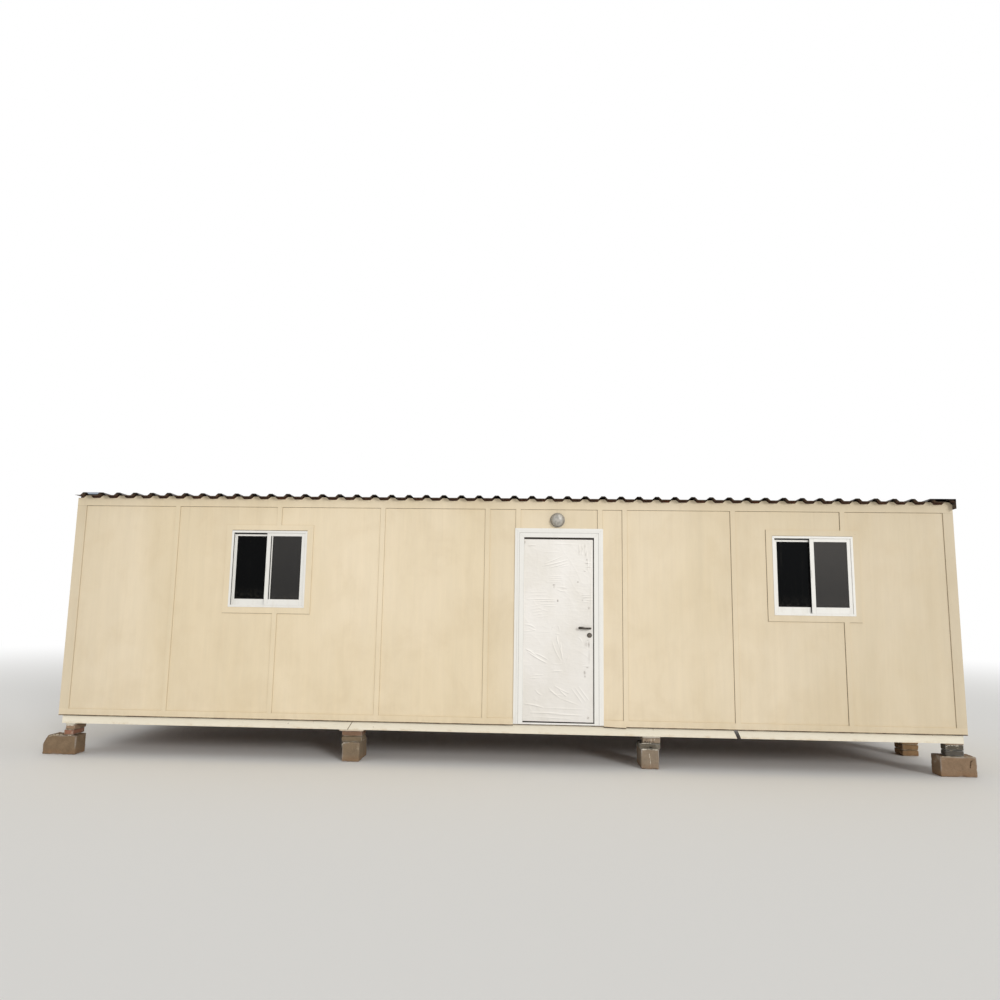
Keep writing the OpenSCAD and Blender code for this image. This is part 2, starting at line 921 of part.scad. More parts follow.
module lamp_dome() {
    y_rim = y_front + strip_t - seat;
    color(dark_glass)
        translate([lamp_x, y_rim, z_lamp])
            rotate([90, 0, 0])
                rotate_extrude()
                    difference() {
                        polygon(concat([[0, 0]], dome(lamp_r, lamp_depth)));
                        translate([0, -seat])
                            polygon(concat([[0, 0]], dome(lamp_r - lamp_wall, lamp_depth - lamp_wall)));
                    }
}

module floor_deck() {
    color(timber)
        span([x_core_left, y_core_front, z_wall], [x_core_right, y_core_rear, z_floor]);
}

// A channel along X, its web at y and its flanges towards the given side
module rail_x(y, side) {
    tip = y + side * rail_w;
    inner = y + side * rail_t;
    translate([x_rail_left, 0, 0])
        rotate([90, 0, 90])
            linear_extrude(x_rail_right - x_rail_left)
                polygon([
                    [y, z_rail],
                    [tip, z_rail],
                    [tip, z_rail + rail_t],
                    [inner, z_rail + rail_t],
                    [inner, z_wall - rail_t],
                    [tip, z_wall - rail_t],
                    [tip, z_wall],
                    [y, z_wall]
                ]);
}

// A slanted slot through a rail
module splice(x, gap, lean) {
    translate([0, cabin_w, 0])
        rotate([90, 0, 0])
            linear_extrude(2 * cabin_w)
                polygon([
                    [x - gap / 2 - lean / 2, z_rail - cut],
                    [x + gap / 2 - lean / 2, z_rail - cut],
                    [x + gap / 2 + lean / 2, z_wall + cut],
                    [x - gap / 2 + lean / 2, z_wall + cut]
                ]);
}

module front_base_rail() {
    color(rail_cream)
        difference() {
            rail_x(y_rail_front, 1);
            splice(left_splice_x, splice_gap, splice_lean);
            splice(right_splice_x, open_splice_gap, -open_splice_lean);
        }
}

module rear_base_rail() {
    color(rail_cream)
        difference() {
            rail_x(y_rail_rear, -1);
            splice(left_splice_x, splice_gap, splice_lean);
            splice(right_splice_x, splice_gap, -splice_lean);
        }
}

// A channel along Y, its web at x and its flanges towards the given side, with a tongue at each end
// that enters the long rails
module rail_y(x, side) {
    tip = x + side * rail_w;
    inner = x + side * rail_t;
    y1 = y_rail_front + rail_w + seat;
    y2 = y_rail_rear - rail_w - seat;
    translate([0, y2, 0])
        rotate([90, 0, 0])
            linear_extrude(y2 - y1)
                polygon([
                    [x, z_rail],
                    [tip, z_rail],
                    [tip, z_rail + rail_t],
                    [inner, z_rail + rail_t],
                    [inner, z_wall - rail_t],
                    [tip, z_wall - rail_t],
                    [tip, z_wall],
                    [x, z_wall]
                ]);
    span(
        [min(x, inner), y_rail_front + rail_t, z_rail + rail_t + seat],
        [max(x, inner), y_rail_rear - rail_t, z_wall - rail_t - seat]
    );
}

module end_base_rails() {
    color(rail_cream) {
        rail_y(x_rail_left, 1);
        rail_y(x_rail_right, -1);
    }
}

module floor_joists() {
    color(steel_brown)
        for (i = [1:joist_count - 1])
            rail_y(x_rail_left + i * joist_step, 1);
}

module ceiling_panel() {
    color(white)
        slope_slab(
            x_room_left + seat, x_room_right - seat, y_room_front + seat, y_room_rear - seat,
            ceiling_drop, ceiling_drop + ceiling_t
        );
}

// Purlins under the sheets, welded to rafters that span from wall to wall
module roof_frame() {
    rafter_t = 40;
    purlin_w = 50;
    purlin_rows = 4;
    row_step = (y_core_rear - y_core_front - purlin_w) / (purlin_rows - 1);
    rafter_count = boards_left + boards_right + 1;
    rafter_step = (x_room_right - x_room_left) / rafter_count;
    color(steel_brown) {
        for (i = [0:purlin_rows - 1]) {
            y = y_core_front + i * row_step;
            slope_slab(x_core_left, x_core_right, y, y + purlin_w, bed, purlin_h);
        }
        for (i = [1:rafter_count - 1]) {
            x = x_room_left + i * rafter_step - rafter_t / 2;
            slope_slab(
                x, x + rafter_t, y_room_front + seat, y_room_rear - seat, purlin_h - weld,
                ceiling_drop
            );
        }
    }
}

// Under side of one rib, raised where it lies over another sheet's rib
function rib_line(i, up) = [
    [rib_x(i) - rib_base / 2 - up * flank / rib_h, 0],
    [rib_x(i) - rib_top / 2, rib_h + up],
    [rib_x(i) + rib_top / 2, rib_h + up],
    [rib_x(i) + rib_base / 2 + up * flank / rib_h, 0]
];

// A sheet starts and ends half way down the far side of the rib that it shares with its neighbour
function lap_start(i, up) = [
    [rib_x(i) - flank_middle, rib_h / 2 + up],
    [rib_x(i) - rib_top / 2, rib_h + up],
    [rib_x(i) + rib_top / 2, rib_h + up],
    [rib_x(i) + rib_base / 2 + up * flank / rib_h, 0]
];
function lap_end(i, up) = [
    [rib_x(i) - rib_base / 2 - up * flank / rib_h, 0],
    [rib_x(i) - rib_top / 2, rib_h + up],
    [rib_x(i) + rib_top / 2, rib_h + up],
    [rib_x(i) + flank_middle, rib_h / 2 + up]
];
function sheet_start(j, up) = j == 0
    ? concat([[x_left + sheet_edge, 0]], rib_line(0, 0))
    : lap_start(j * ribs_per_sheet, up);
function sheet_end(j, up) = j == sheet_count - 1
    ? concat(rib_line(rib_count - 1, 0), [[x_right - sheet_edge, 0]])
    : lap_end((j + 1) * ribs_per_sheet, up);
function sheet_line(j, up) =
    let (
        first = j * ribs_per_sheet + 1,
        last = min((j + 1) * ribs_per_sheet, rib_count - 1) - 1
    )
    concat(
        sheet_start(j, up),
        [for (i = [first:1:last]) each rib_line(i, 0)],
        sheet_end(j, up)
    );
function thick_line(line, t) = concat(
    line,
    [for (i = [len(line) - 1:-1:0]) [line[i].x, line[i].y + t]]
);

// An outline in X and height over the sheets' under side, drawn along the fall of the roof with
// plumb ends
module along_roof(outline) {
    y_low = y_rear + roof_over;
    run = (cabin_w + 2 * roof_over) / cos(fall_angle);
    intersection() {
        translate([0, y_low + cut, roof_z(y_low + cut)])
            rotate([90 - fall_angle, 0, 0])
                linear_extrude(run + 2 * cut)
                    polygon(outline);
        span(
            [x_left - cabin_w, y_front - roof_over, z_wall],
            [x_right + cabin_w, y_low, z_head + cabin_w]
        );
    }
}

module roof_sheets(odd) {
    for (j = [0:sheet_count - 1])
        if ((j % 2 == 1) == odd)
            along_roof(thick_line(sheet_line(j, odd ? lap_up : 0), sheet_t));
}

module roof_sheets_under() {
    color(roof_dark)
        roof_sheets(false);
}

module roof_sheets_over() {
    color(roof_dark)
        roof_sheets(true);
}

// An angle that lies on the last two ribs of the right end and hangs down outside the wall
module right_flashing() {
    z_top = rib_h + sheet_t + lap_up;
    x_in = rib_x(rib_count - 2) - rib_top / 2;
    x_face = x_right + seat;
    along_roof([
        [x_in, z_top],
        [x_face, z_top],
        [x_face, z_top - verge_h],
        [x_face + sheet_t, z_top - verge_h],
        [x_face + sheet_t, z_top + sheet_t],
        [x_in, z_top + sheet_t]
    ]);
}

// A flat strip over the first valley at the left end, with a lip at its front
module left_capping() {
    z_top = rib_h + sheet_t;
    x1 = rib_x(0) - rib_top / 2;
    x2 = rib_x(1) - rib_top / 2 + capping_lap;
    lip_x1 = rib_x(0) + rib_top / 2 + capping_lip_gap;
    lip_x2 = rib_x(1) - rib_top / 2 - capping_lip_gap;
    lip_in = capping_lip * flank / rib_h;
    y_lip = y_front - roof_over;
    along_roof([[x1, z_top], [x2, z_top], [x2, z_top + sheet_t], [x1, z_top + sheet_t]]);
    intersection() {
        along_roof([
            [lip_x1 + lip_in, z_top - capping_lip],
            [lip_x2 - lip_in, z_top - capping_lip],
            [lip_x2, z_top + sheet_t / 2],
            [lip_x1, z_top + sheet_t / 2]
        ]);
        span([x_left, y_lip, z_wall], [x_right, y_lip + sheet_t, z_head + cabin_w]);
    }
}

module verge_flashings() {
    color(roof_dark) {
        left_capping();
        right_flashing();
    }
}

// A box standing at z, with its middle at x and its outer face at a distance in from the front or rear
module pier_box(x, w, y_in, depth, z, h, front) {
    y = front ? y_front + y_in : y_rear - y_in - depth;
    span([x - w / 2, y, z], [x + w / 2, y + depth, z + h]);
}

module pier_blocks() {
    color(concrete)
        for (p = piers, front = [true, false])
            pier_box(
                p[0], p[1] ? block_l : block_w, block_in, p[1] ? block_w : block_l, 0, block_h, front
            );
}

// One layer of all the piers: bricks or plates side by side from the rail's face inwards
module pier_layer(column, z, h) {
    for (p = piers, front = [true, false], i = [0:p[column][3] - 1])
        pier_box(
            p[column][0], p[column][1], rail_in + i * (p[column][2] + brick_gap), p[column][2], z, h,
            front
        );
}

module side_column(first, last) {
    for (i = [first:last], row = [0, 1])
        pier_box(
            side_pier_x, cut_brick_l, side_pier_in + row * (brick_w + brick_gap), brick_w,
            i * side_course_h, side_course_h - (i < last ? seat : 0), true
        );
}

module pier_bricks_lower() {
    color(brick_red) {
        pier_layer(2, block_h, brick_h);
        side_column(0, side_lower - 1);
    }
}

module pier_bricks_upper() {
    color(brick_red) {
        pier_layer(3, block_h + brick_h, brick_h);
        side_column(side_lower, side_courses - 1);
    }
}

module pier_shims() {
    color(timber) {
        pier_layer(4, block_h + 2 * brick_h, shim_t);
        pier_box(
            side_pier_x, cut_brick_l, side_pier_in + brick_gap, plate_l, block_h + 2 * brick_h, shim_t,
            true
        );
    }
}

front_wall_left();
front_wall_right();
front_wall_over_door();
rear_wall();
left_end_wall();
right_end_wall();
front_cladding();
rear_cladding();
end_cladding();
cover_strips();
corner_trims();
head_trims();
base_trims();
window_surrounds();
left_window_frame();
left_window_outer_sash();
left_window_inner_sash();
left_window_glass();
right_window_frame();
right_window_outer_sash();
right_window_inner_sash();
right_window_glass();
door_frame();
frame_hinges();
door_leaf();
leaf_hinges();
door_roses();
door_lever();
lamp_base();
lamp_dome();
floor_deck();
front_base_rail();
rear_base_rail();
end_base_rails();
floor_joists();
ceiling_panel();
roof_frame();
roof_sheets_under();
roof_sheets_over();
verge_flashings();
pier_blocks();
pier_bricks_lower();
pier_bricks_upper();
pier_shims();
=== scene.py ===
import math

import bmesh
import bpy
from mathutils import Matrix, Vector, noise


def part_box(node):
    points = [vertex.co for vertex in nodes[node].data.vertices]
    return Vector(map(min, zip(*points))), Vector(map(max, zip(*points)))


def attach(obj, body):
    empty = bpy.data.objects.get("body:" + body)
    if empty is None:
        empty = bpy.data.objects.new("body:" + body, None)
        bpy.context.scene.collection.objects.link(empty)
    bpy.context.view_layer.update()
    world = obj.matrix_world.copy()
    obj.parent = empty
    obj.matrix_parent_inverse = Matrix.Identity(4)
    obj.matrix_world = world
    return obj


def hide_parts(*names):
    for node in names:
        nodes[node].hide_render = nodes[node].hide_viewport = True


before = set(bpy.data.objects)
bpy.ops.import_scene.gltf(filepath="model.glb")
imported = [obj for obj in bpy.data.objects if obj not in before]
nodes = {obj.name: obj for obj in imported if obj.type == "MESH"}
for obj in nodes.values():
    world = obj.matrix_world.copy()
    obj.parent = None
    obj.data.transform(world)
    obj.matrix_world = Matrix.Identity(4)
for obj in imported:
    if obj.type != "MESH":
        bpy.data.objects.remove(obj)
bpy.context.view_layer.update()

scene = bpy.context.scene
roofFall = 1 / 30       # how much the roof falls for each metre towards the rear

# the spot from which the cabin is seen, in metres and degrees
cameraSettings = {
    "place": (0.424, -10.089, 1.772),
    "turn": -2.8,      # towards -X
    "tilt": 7.9,       # up from the horizon
    "roll": 0.86,
    "lens": 27.0,       # on a 36 mm wide sensor
}


def makeCamera(settings):
    turn, tilt, roll = (math.radians(settings[k]) for k in ("turn", "tilt", "roll"))
    ahead = Vector((math.sin(turn) * math.cos(tilt), math.cos(turn) * math.cos(tilt), math.sin(tilt)))
    side = ahead.cross(Vector((0, 0, 1))).normalized()
    above = side.cross(ahead)
    right = side * math.cos(roll) + above * math.sin(roll)
    up = above * math.cos(roll) - side * math.sin(roll)
    data = bpy.data.cameras.new("camera")
    data.lens = settings["lens"]
    data.sensor_width = 36
    data.clip_end = 500
    camera = bpy.data.objects.new("camera", data)
    turned = Matrix((right, up, -ahead)).transposed().to_4x4()
    camera.matrix_world = Matrix.Translation(settings["place"]) @ turned
    scene.collection.objects.link(camera)
    scene.camera = camera


makeCamera(cameraSettings)
print("camera is up")


def rgb(red, green, blue):
    # screen values from 0 to 255, as a colour for a shader
    parts = (c / 255 for c in (red, green, blue))
    return (*(c / 12.92 if c < 0.04045 else ((c + 0.055) / 1.055) ** 2.4 for c in parts), 1)


class Value:
    # one socket of a material; a sum on it adds Math nodes
    def __init__(self, paint, socket):
        self.paint = paint
        self.socket = socket

    def work(self, operation, first, second=0):
        return self.paint.add("Math", {"operation": operation}, {0: first, 1: second})

    def __add__(self, other):
        return self.work("ADD", self, other)

    def __radd__(self, other):
        return self.work("ADD", other, self)

    def __sub__(self, other):
        return self.work("SUBTRACT", self, other)

    def __rsub__(self, other):
        return self.work("SUBTRACT", other, self)

    def __mul__(self, other):
        return self.work("MULTIPLY", self, other)

    def __rmul__(self, other):
        return self.work("MULTIPLY", other, self)

    def __truediv__(self, other):
        return self.work("DIVIDE", self, other)

    def __abs__(self):
        return self.work("ABSOLUTE", self)

    def rise(self, low, high):
        # 0 below low, 1 above high and smooth between them
        settings = {"interpolation_type": "SMOOTHSTEP", "clamp": True}
        return self.paint.add("MapRange", settings, {"Value": self, "From Min": low, "From Max": high})

    def fall(self, low, high):
        return 1 - self.rise(low, high)


class Paint:
    # a material that is put together from values; tones are its settings, first names the colour
    # to begin with, plain holds what is the same all over, and colour is what has been mixed so far
    def __init__(self, name, tones, first, gloss, plain=None):
        self.material = bpy.data.materials.new(name)
        self.material.use_nodes = True
        self.tree = self.material.node_tree
        self.shader = self.tree.nodes["Principled BSDF"]
        for key, value in {"Specular IOR Level": gloss, **(plain or {})}.items():
            self.shader.inputs[key].default_value = value
        self.tones = tones
        self.colour = tones.get(first)
        self.spots = self.add("TexCoord", output="Object")
        self.x, self.y, self.z = (self.add("SeparateXYZ", {}, {0: self.spots}, axis) for axis in "XYZ")

    def add(self, kind, settings=None, values=None, output=0):
        node = self.tree.nodes.new("ShaderNode" + kind)
        for key, value in (settings or {}).items():
            setattr(node, key, value)
        for key, value in (values or {}).items():
            if isinstance(value, Value):
                self.tree.links.new(value.socket, node.inputs[key])
            else:
                node.inputs[key].default_value = value
        return Value(self, node.outputs[output])

    def stretched(self, scale):
        return self.add("VectorMath", {"operation": "MULTIPLY"}, {0: self.spots, 1: scale})

    def noise(self, scale, detail=3, stretch=None, rough=0.55, twist=0):
        spots = self.stretched(stretch) if stretch else self.spots
        values = {"Vector": spots, "Scale": scale, "Detail": detail, "Roughness": rough, "Distortion": twist}
        return self.add("TexNoise", {}, values)

    def cells(self, scale, stretch=None, output="Distance"):
        spots = self.stretched(stretch) if stretch else self.spots
        return self.add("TexVoronoi", {}, {"Vector": spots, "Scale": scale}, output)

    def layer(self, name, output="Fac"):
        # what the mesh itself holds under that name
        return self.add("Attribute", {"attribute_name": name}, {}, output)

    def seams(self, width, low, high):
        # fine lines across X, one in each width
        count = self.x / width
        return abs(count.work("FRACT", count) - 0.5).rise(low, high)

    def steps(self, value):
        # another number from 0 to 1 for each whole number
        whole = value.work("FLOOR", value)
        return self.add("TexWhiteNoise", {"noise_dimensions": "1D"}, {"W": whole})

    def mix(self, mask, base, cover):
        return self.add("Mix", {"data_type": "RGBA"}, {0: mask, 6: base, 7: cover}, 2)

    def tint(self, base, mask, strength):
        # base times a grey that goes from 1 - strength to 1 + strength
        grey = 1 + (mask - 0.5) * (2 * strength)
        plain = self.add("CombineXYZ", {}, {0: grey, 1: grey, 2: grey})
        colour = base if isinstance(base, Value) else base[:3]
        return self.add("VectorMath", {"operation": "MULTIPLY"}, {0: colour, 1: plain})

    def cover(self, mask, tone):
        # over the colour lies a value or the setting of that name
        self.colour = self.mix(mask, self.colour, self.tones[tone] if isinstance(tone, str) else tone)

    def shade(self, mask, strength):
        self.colour = self.tint(self.colour, mask, strength)

    def feed(self, rough, bumps, metal=None, coat=None):
        # bumps is a list of heights, each with its size in metres
        sockets = {"Base Color": self.colour, "Roughness": rough, "Metallic": metal, "Coat Weight": coat}
        normal = None
        for height, size in bumps:
            values = {"Height": height, "Distance": size, "Strength": 1.0}
            if normal:
                values["Normal"] = normal
            normal = self.add("Bump", {}, values)
        sockets["Normal"] = normal
        for key, value in sockets.items():
            if isinstance(value, Value):
                self.tree.links.new(value.socket, self.shader.inputs[key])
        return self.material


creamPaint = {
    "cream": rgb(228, 211, 179),
    "faded": rgb(235, 219, 190),
    "dust": rgb(206, 184, 147),
    "streak": rgb(198, 178, 144),
    "boardWidth": 1.22,
    "boardStart": -5.015,
    # from here to there, as lists, which darker leaves alone
    "splash": [0.45, 0.95], "foot": [0.452, 0.56], "rain": [2.15, 2.9],
    "leftEnd": [-5.6, -3.2], "rightEnd": [0.5, 5.5],
}


def darker(settings, share):
    # the same settings with each colour times share
    return {k: (*(c * share for c in v[:3]), 1) if isinstance(v, tuple) else v for k, v in settings.items()}


def makeCream(name, settings, boards, dirt):
    paint = Paint(name, settings, "cream", 0.35)
    soft = paint.noise(0.9, 4, (1, 1, 0.45))
    brushed = paint.noise(9, 5, (1.6, 1.6, 0.11), 0.6)
    fine = paint.noise(60, 3, (1, 1, 0.06))
    paint.cover(soft.rise(0.35, 0.68), "faded")
    paint.shade(brushed, 0.055)
    paint.shade(paint.noise(3.6, 4, (1, 1, 0.16), 0.6), 0.045)
    paint.shade(fine, 0.02)
    # the paint is darker towards both ends of the cabin, the end walls included
    awayFromEnds = paint.x.fall(*settings["rightEnd"]) * paint.x.rise(*settings["leftEnd"])
    paint.shade(awayFromEnds * 0.5, 0.15)
    if boards:
        tone = paint.steps((paint.x - settings["boardStart"]) / settings["boardWidth"] + 0.001)
        paint.shade(tone, 0.014)
    splash = paint.z.fall(*settings["splash"]) * paint.noise(7, 5).rise(0.3, 0.75)
    lowEdge = paint.z.fall(*settings["foot"]) * paint.noise(16, 4, (1, 1, 0.5)).rise(0.25, 0.7)
    paint.cover((splash * 0.16 + lowEdge * 0.3) * dirt, "dust")
    blotch = paint.noise(2.6, 4, (1, 1, 0.8), 0.6, 0.4).rise(0.42, 0.72)
    paint.cover(blotch * 0.2 * dirt, "dust")
    run = paint.noise(22, 3, (1, 1, 0.035)).rise(0.56, 0.74)
    wet = paint.z.rise(*settings["rain"]) * run
    paint.cover(wet * 0.14 * dirt, "streak")
    specks = paint.cells(55).fall(0.03, 0.07) * paint.noise(4, 2).rise(0.5, 0.7)
    paint.cover(specks * 0.25 * dirt, "streak")
    rough = 0.5 + soft * 0.12 + splash * 0.15 + fine * 0.06
    peel = paint.noise(420, 2)
    waves = paint.noise(1.3, 2, (1, 1, 0.5))
    return paint.feed(rough, [(waves, 0.006), (brushed, 0.0012), (peel, 0.0002)])


liningPaint = {"board": rgb(226, 218, 202), "scuff": rgb(168, 156, 138), "joint": 0.9}


def makeLining(settings):
    paint = Paint("liningPaint", settings, "board", 0.3)
    soft = paint.noise(1.4, 4)
    paint.shade(soft, 0.04)
    scuffs = paint.noise(14, 5, (1, 1, 3.5), 0.7).rise(0.58, 0.8) * paint.z.fall(0.47, 1.1)
    paint.cover(scuffs * 0.5, "scuff")
    seam = paint.seams(settings["joint"], 0.4965, 0.499)
    paint.cover(seam * 0.6, "scuff")
    weave = paint.noise(260, 2)
    return paint.feed(0.55 + soft * 0.15, [(1 - seam, 0.0008), (weave, 0.0002)])


whitePaint = {
    "white": rgb(242, 240, 234), "grime": rgb(196, 186, 168), "scratch": rgb(205, 202, 196),
    "paler": [-3.2, 3.4], "footRise": 0.35,
}


def makeWhite(name, settings, footHeight):
    paint = Paint(name, settings, "white", 0.5)
    soft = paint.noise(2.2, 4)
    paint.shade(soft, 0.018)
    paint.shade(paint.x.rise(*settings["paler"]), 0.025)
    dirt = paint.noise(18, 5, (1, 1, 0.35), 0.65).rise(0.46, 0.78)
    foot = paint.z.fall(footHeight, footHeight + settings["footRise"])
    paint.cover(dirt * (0.08 + foot * 0.16), "grime")
    lines = paint.noise(70, 3, (1, 1, 0.04)).rise(0.62, 0.74)
    paint.cover(lines * 0.14, "scratch")
    rough = 0.33 + soft * 0.12 + dirt * 0.2
    return paint.feed(rough, [(paint.noise(3, 2), 0.0012), (paint.noise(300, 2), 0.00008)])


leafPaint = {"white": rgb(240, 237, 230)}


def makeLeaf(settings):
    paint = Paint("leafPaint", settings, "white", 0.5)
    soft = paint.noise(3, 4)
    paint.shade(soft, 0.03)
    return paint.feed(0.35 + soft * 0.1, [(paint.noise(240, 2), 0.0001)])


filmPaint = {"film": rgb(241, 237, 231), "cloud": rgb(231, 226, 217), "grime": rgb(104, 84, 66)}


def makeFilm(settings):
    paint = Paint("filmPaint", settings, "film", 0.55, {"IOR": 1.48})
    soft = paint.noise(2.4, 5, (1, 1, 0.6), 0.6)
    paint.cover(soft.rise(0.3, 0.75), "cloud")
    # painted shade and highlight along each crease, read from the mesh
    paint.shade(paint.layer("creaseShade"), 0.2)
    paint.shade(paint.z.rise(0.5, 2.5), 0.035)
    marks = paint.layer("grime")
    grain = paint.noise(65, 4).rise(0.3, 0.65)
    paint.cover(marks * (0.45 + grain * 0.55), "grime")
    crinkle = paint.noise(26, 4, (1.0, 1.0, 0.75), 0.6, 0.9)
    fold = 1 - abs(paint.noise(7.5, 3, (1, 1, 1.3), 0.5, 0.7) - 0.5) * 6
    rough = 0.3 + soft * 0.16 + marks * 0.2
    return paint.feed(rough, [(crinkle, 0.0016), (fold.rise(0, 1), 0.0007)])


glassPaint = {
    "grey": rgb(55, 53, 51), "dark": rgb(7, 8, 9), "dust": rgb(120, 114, 104),
    "foot": [1.78, 1.95], "across": [-1, 1], "up": [1.75, 2.55],
}


def makeGlass(name, settings, tint, gloss, solid):
    paint = Paint(name, settings, tint, gloss, {"IOR": 1.5, "Alpha": solid})
    film = paint.noise(3.5, 5, (1, 1, 0.5), 0.65)
    foot = paint.z.fall(*settings["foot"]) * paint.noise(30, 3).rise(0.35, 0.7)
    runs = paint.noise(34, 3, (1, 1, 0.06)).rise(0.6, 0.78)
    paint.shade(film, 0.1)
    # painted reflection: the panes grow lighter towards +X and towards the top
    paint.shade(paint.x.rise(*settings["across"]), 0.34)
    paint.shade(paint.z.rise(*settings["up"]), 0.22)
    paint.cover(foot * 0.1 + runs * 0.035, "dust")
    return paint.feed(0.045 + film * 0.05 + foot * 0.15, [(paint.noise(2.2, 2), 0.0006)])


lampPaint = {
    "glass": rgb(166, 162, 154), "deep": rgb(96, 90, 82), "dust": rgb(184, 178, 166),
    "highlightSpot": (0.7, -1.56, 2.772), "highlightReach": [0.014, 0.044],        # middle and reach of a painted highlight
    "deepness": [-1.56, -1.5], "side": [0.705, 0.735], "top": [2.76, 2.83],
}


def makeLampGlass(settings):
    paint = Paint("lampGlass", settings, "glass", 0.5, {"IOR": 1.5, "Coat Roughness": 0.12})
    soft = paint.noise(24, 4)
    # painted shade: the glass darkens towards the wall, round its rim
    paint.cover(paint.y.rise(*settings["deepness"]), "deep")
    paint.shade(soft, 0.12)
    paint.shade(paint.noise(34, 3, None, 0.6).rise(0.36, 0.64), 0.16)
    # a painted highlight at the upper right of the glass
    values = {0: paint.spots, 1: settings["highlightSpot"]}
    highlightSpot = paint.add("VectorMath", {"operation": "DISTANCE"}, values, "Value")
    paint.shade(highlightSpot.fall(*settings["highlightReach"]) * 0.5 + 0.5, 0.34)
    # painted shade down the right side of the glass
    paint.shade(paint.x.fall(*settings["side"]), 0.09)
    settled = paint.z.rise(*settings["top"]) * paint.noise(60, 4).rise(0.3, 0.7)
    paint.cover(settled * 0.45, "dust")
    return paint.feed(0.28 + soft * 0.2, [(paint.noise(150, 2), 0.0003)], coat=0.35 + soft * 0.3)


metalPaint = {
    "lever": rgb(76, 71, 66), "handled": rgb(118, 112, 104), "lock": rgb(112, 104, 96),
    "lockWorn": rgb(144, 136, 126), "paintedHighlight": rgb(218, 213, 205),
    "steel": rgb(176, 175, 172), "worn": rgb(190, 187, 180),
    "highlightBand": [[0.95, 0.985], [1.5255, 1.53]],     # upper edge of the lever, where a painted highlight lies
}


def makeBrushed(name, settings, tone, worn, stretch, paintedHighlight=False):
    paint = Paint(name, settings, tone, 0.5)
    lines = paint.noise(900, 3, stretch)
    soft = paint.noise(38, 4)
    paint.cover(soft.rise(0.42, 0.72) * 0.6, worn)
    paint.shade(lines, 0.1)
    if paintedHighlight:
        # a painted highlight along the upper edge of the lever
        acrossX, upZ = settings["highlightBand"]
        highlightBand = paint.x.rise(*acrossX) * paint.z.rise(*upZ)
        paint.cover(highlightBand * 0.9, "paintedHighlight")
    return paint.feed(0.28 + soft * 0.22 + lines * 0.08, [(lines, 0.00006)], metal=0.82 + soft * 0.15)


roofPaint = {
    "sheet": rgb(50, 43, 40), "chalk": rgb(88, 79, 73), "dust": rgb(120, 105, 88),
    "rust": rgb(112, 62, 36), "under": rgb(78, 56, 44), "plain": rgb(150, 160, 172),
    "valley": [2.923, 2.94], "lip": [2.932, 2.948], "cap": [-4.2, -4.1],
}


def makeRoof(name, settings, capped):
    paint = Paint(name, settings, "sheet", 0.4)
    soft = paint.noise(1.1, 5, (1, 0.4, 1), 0.6)
    fine = paint.noise(38, 4, (1, 0.35, 1))
    paint.cover(soft.rise(0.38, 0.72) * 0.6, "chalk")
    paint.shade(fine, 0.12)
    above = paint.z + paint.y * roofFall        # height measured square to the fall
    valley = above.fall(*settings["valley"])
    silt = paint.noise(9, 5, (1, 0.1, 1)).rise(0.34, 0.76)
    paint.cover(valley * silt * 0.42, "dust")
    spots = paint.noise(24, 6, (1, 0.35, 1), 0.75).rise(0.62, 0.78)
    paint.cover(spots * 0.45, "rust")
    if capped:
        zinc = paint.tint(settings["plain"], paint.cells(45, output="Color"), 0.1)
        paint.cover(paint.x.fall(*settings["cap"]), zinc)
    facing = paint.add("NewGeometry", {}, {}, "Normal")
    below = paint.add("SeparateXYZ", {}, {0: facing}, "Z").fall(-0.4, -0.2)
    # the undersides are brown; high under the crests they take the dark top colour, a painted shade
    under = paint.mix(above.rise(*settings["lip"]), settings["under"], settings["sheet"])
    paint.cover(below, paint.tint(under, fine, 0.15))
    rough = 0.42 + soft * 0.2 + silt * 0.1
    return paint.feed(rough, [(soft, 0.002), (fine, 0.0004)])


railPaint = {
    "cream": rgb(237, 229, 209), "dust": rgb(206, 186, 152),
    "rust": rgb(128, 78, 48), "nick": rgb(92, 74, 60), "foot": [0.35, 0.385],
}


def makeRail(settings):
    paint = Paint("railPaint", settings, "cream", 0.4)
    soft = paint.noise(2.4, 4)
    paint.shade(soft, 0.03)
    fine = paint.noise(48, 4, (0.4, 1, 1))
    paint.shade(fine, 0.03)
    low = paint.z.fall(*settings["foot"])
    grit = paint.noise(20, 5, (0.5, 1, 1), 0.65).rise(0.42, 0.72)
    paint.cover(low * grit * 0.55 + grit * 0.1, "dust")
    chips = paint.noise(26, 6, (0.6, 1, 1), 0.75)
    chipped = chips.rise(0.7, 0.72)
    paint.cover(chips.rise(0.67, 0.71) * 0.4, "rust")
    paint.cover(chipped * 0.6, "nick")
    rough = 0.45 + soft * 0.15 + chipped * 0.3
    return paint.feed(rough, [(soft, 0.002), (1 - chipped, 0.0005), (fine, 0.0003)])


primerPaint = {"primer": rgb(96, 66, 50), "rust": rgb(128, 70, 38), "dust": rgb(140, 122, 100)}


def makePrimer(settings):
    paint = Paint("primerPaint", settings, "primer", 0.3)
    soft = paint.noise(6, 5)
    paint.cover(soft.rise(0.48, 0.72), "rust")
    powder = paint.noise(3, 4).rise(0.4, 0.8)
    paint.cover(powder * 0.25, "dust")
    return paint.feed(0.62 + soft * 0.2, [(paint.noise(90, 4), 0.0006)])


floorPaint = {"board": rgb(150, 112, 74), "dark": rgb(108, 76, 48), "joint": rgb(60, 44, 32), "width": 0.61}


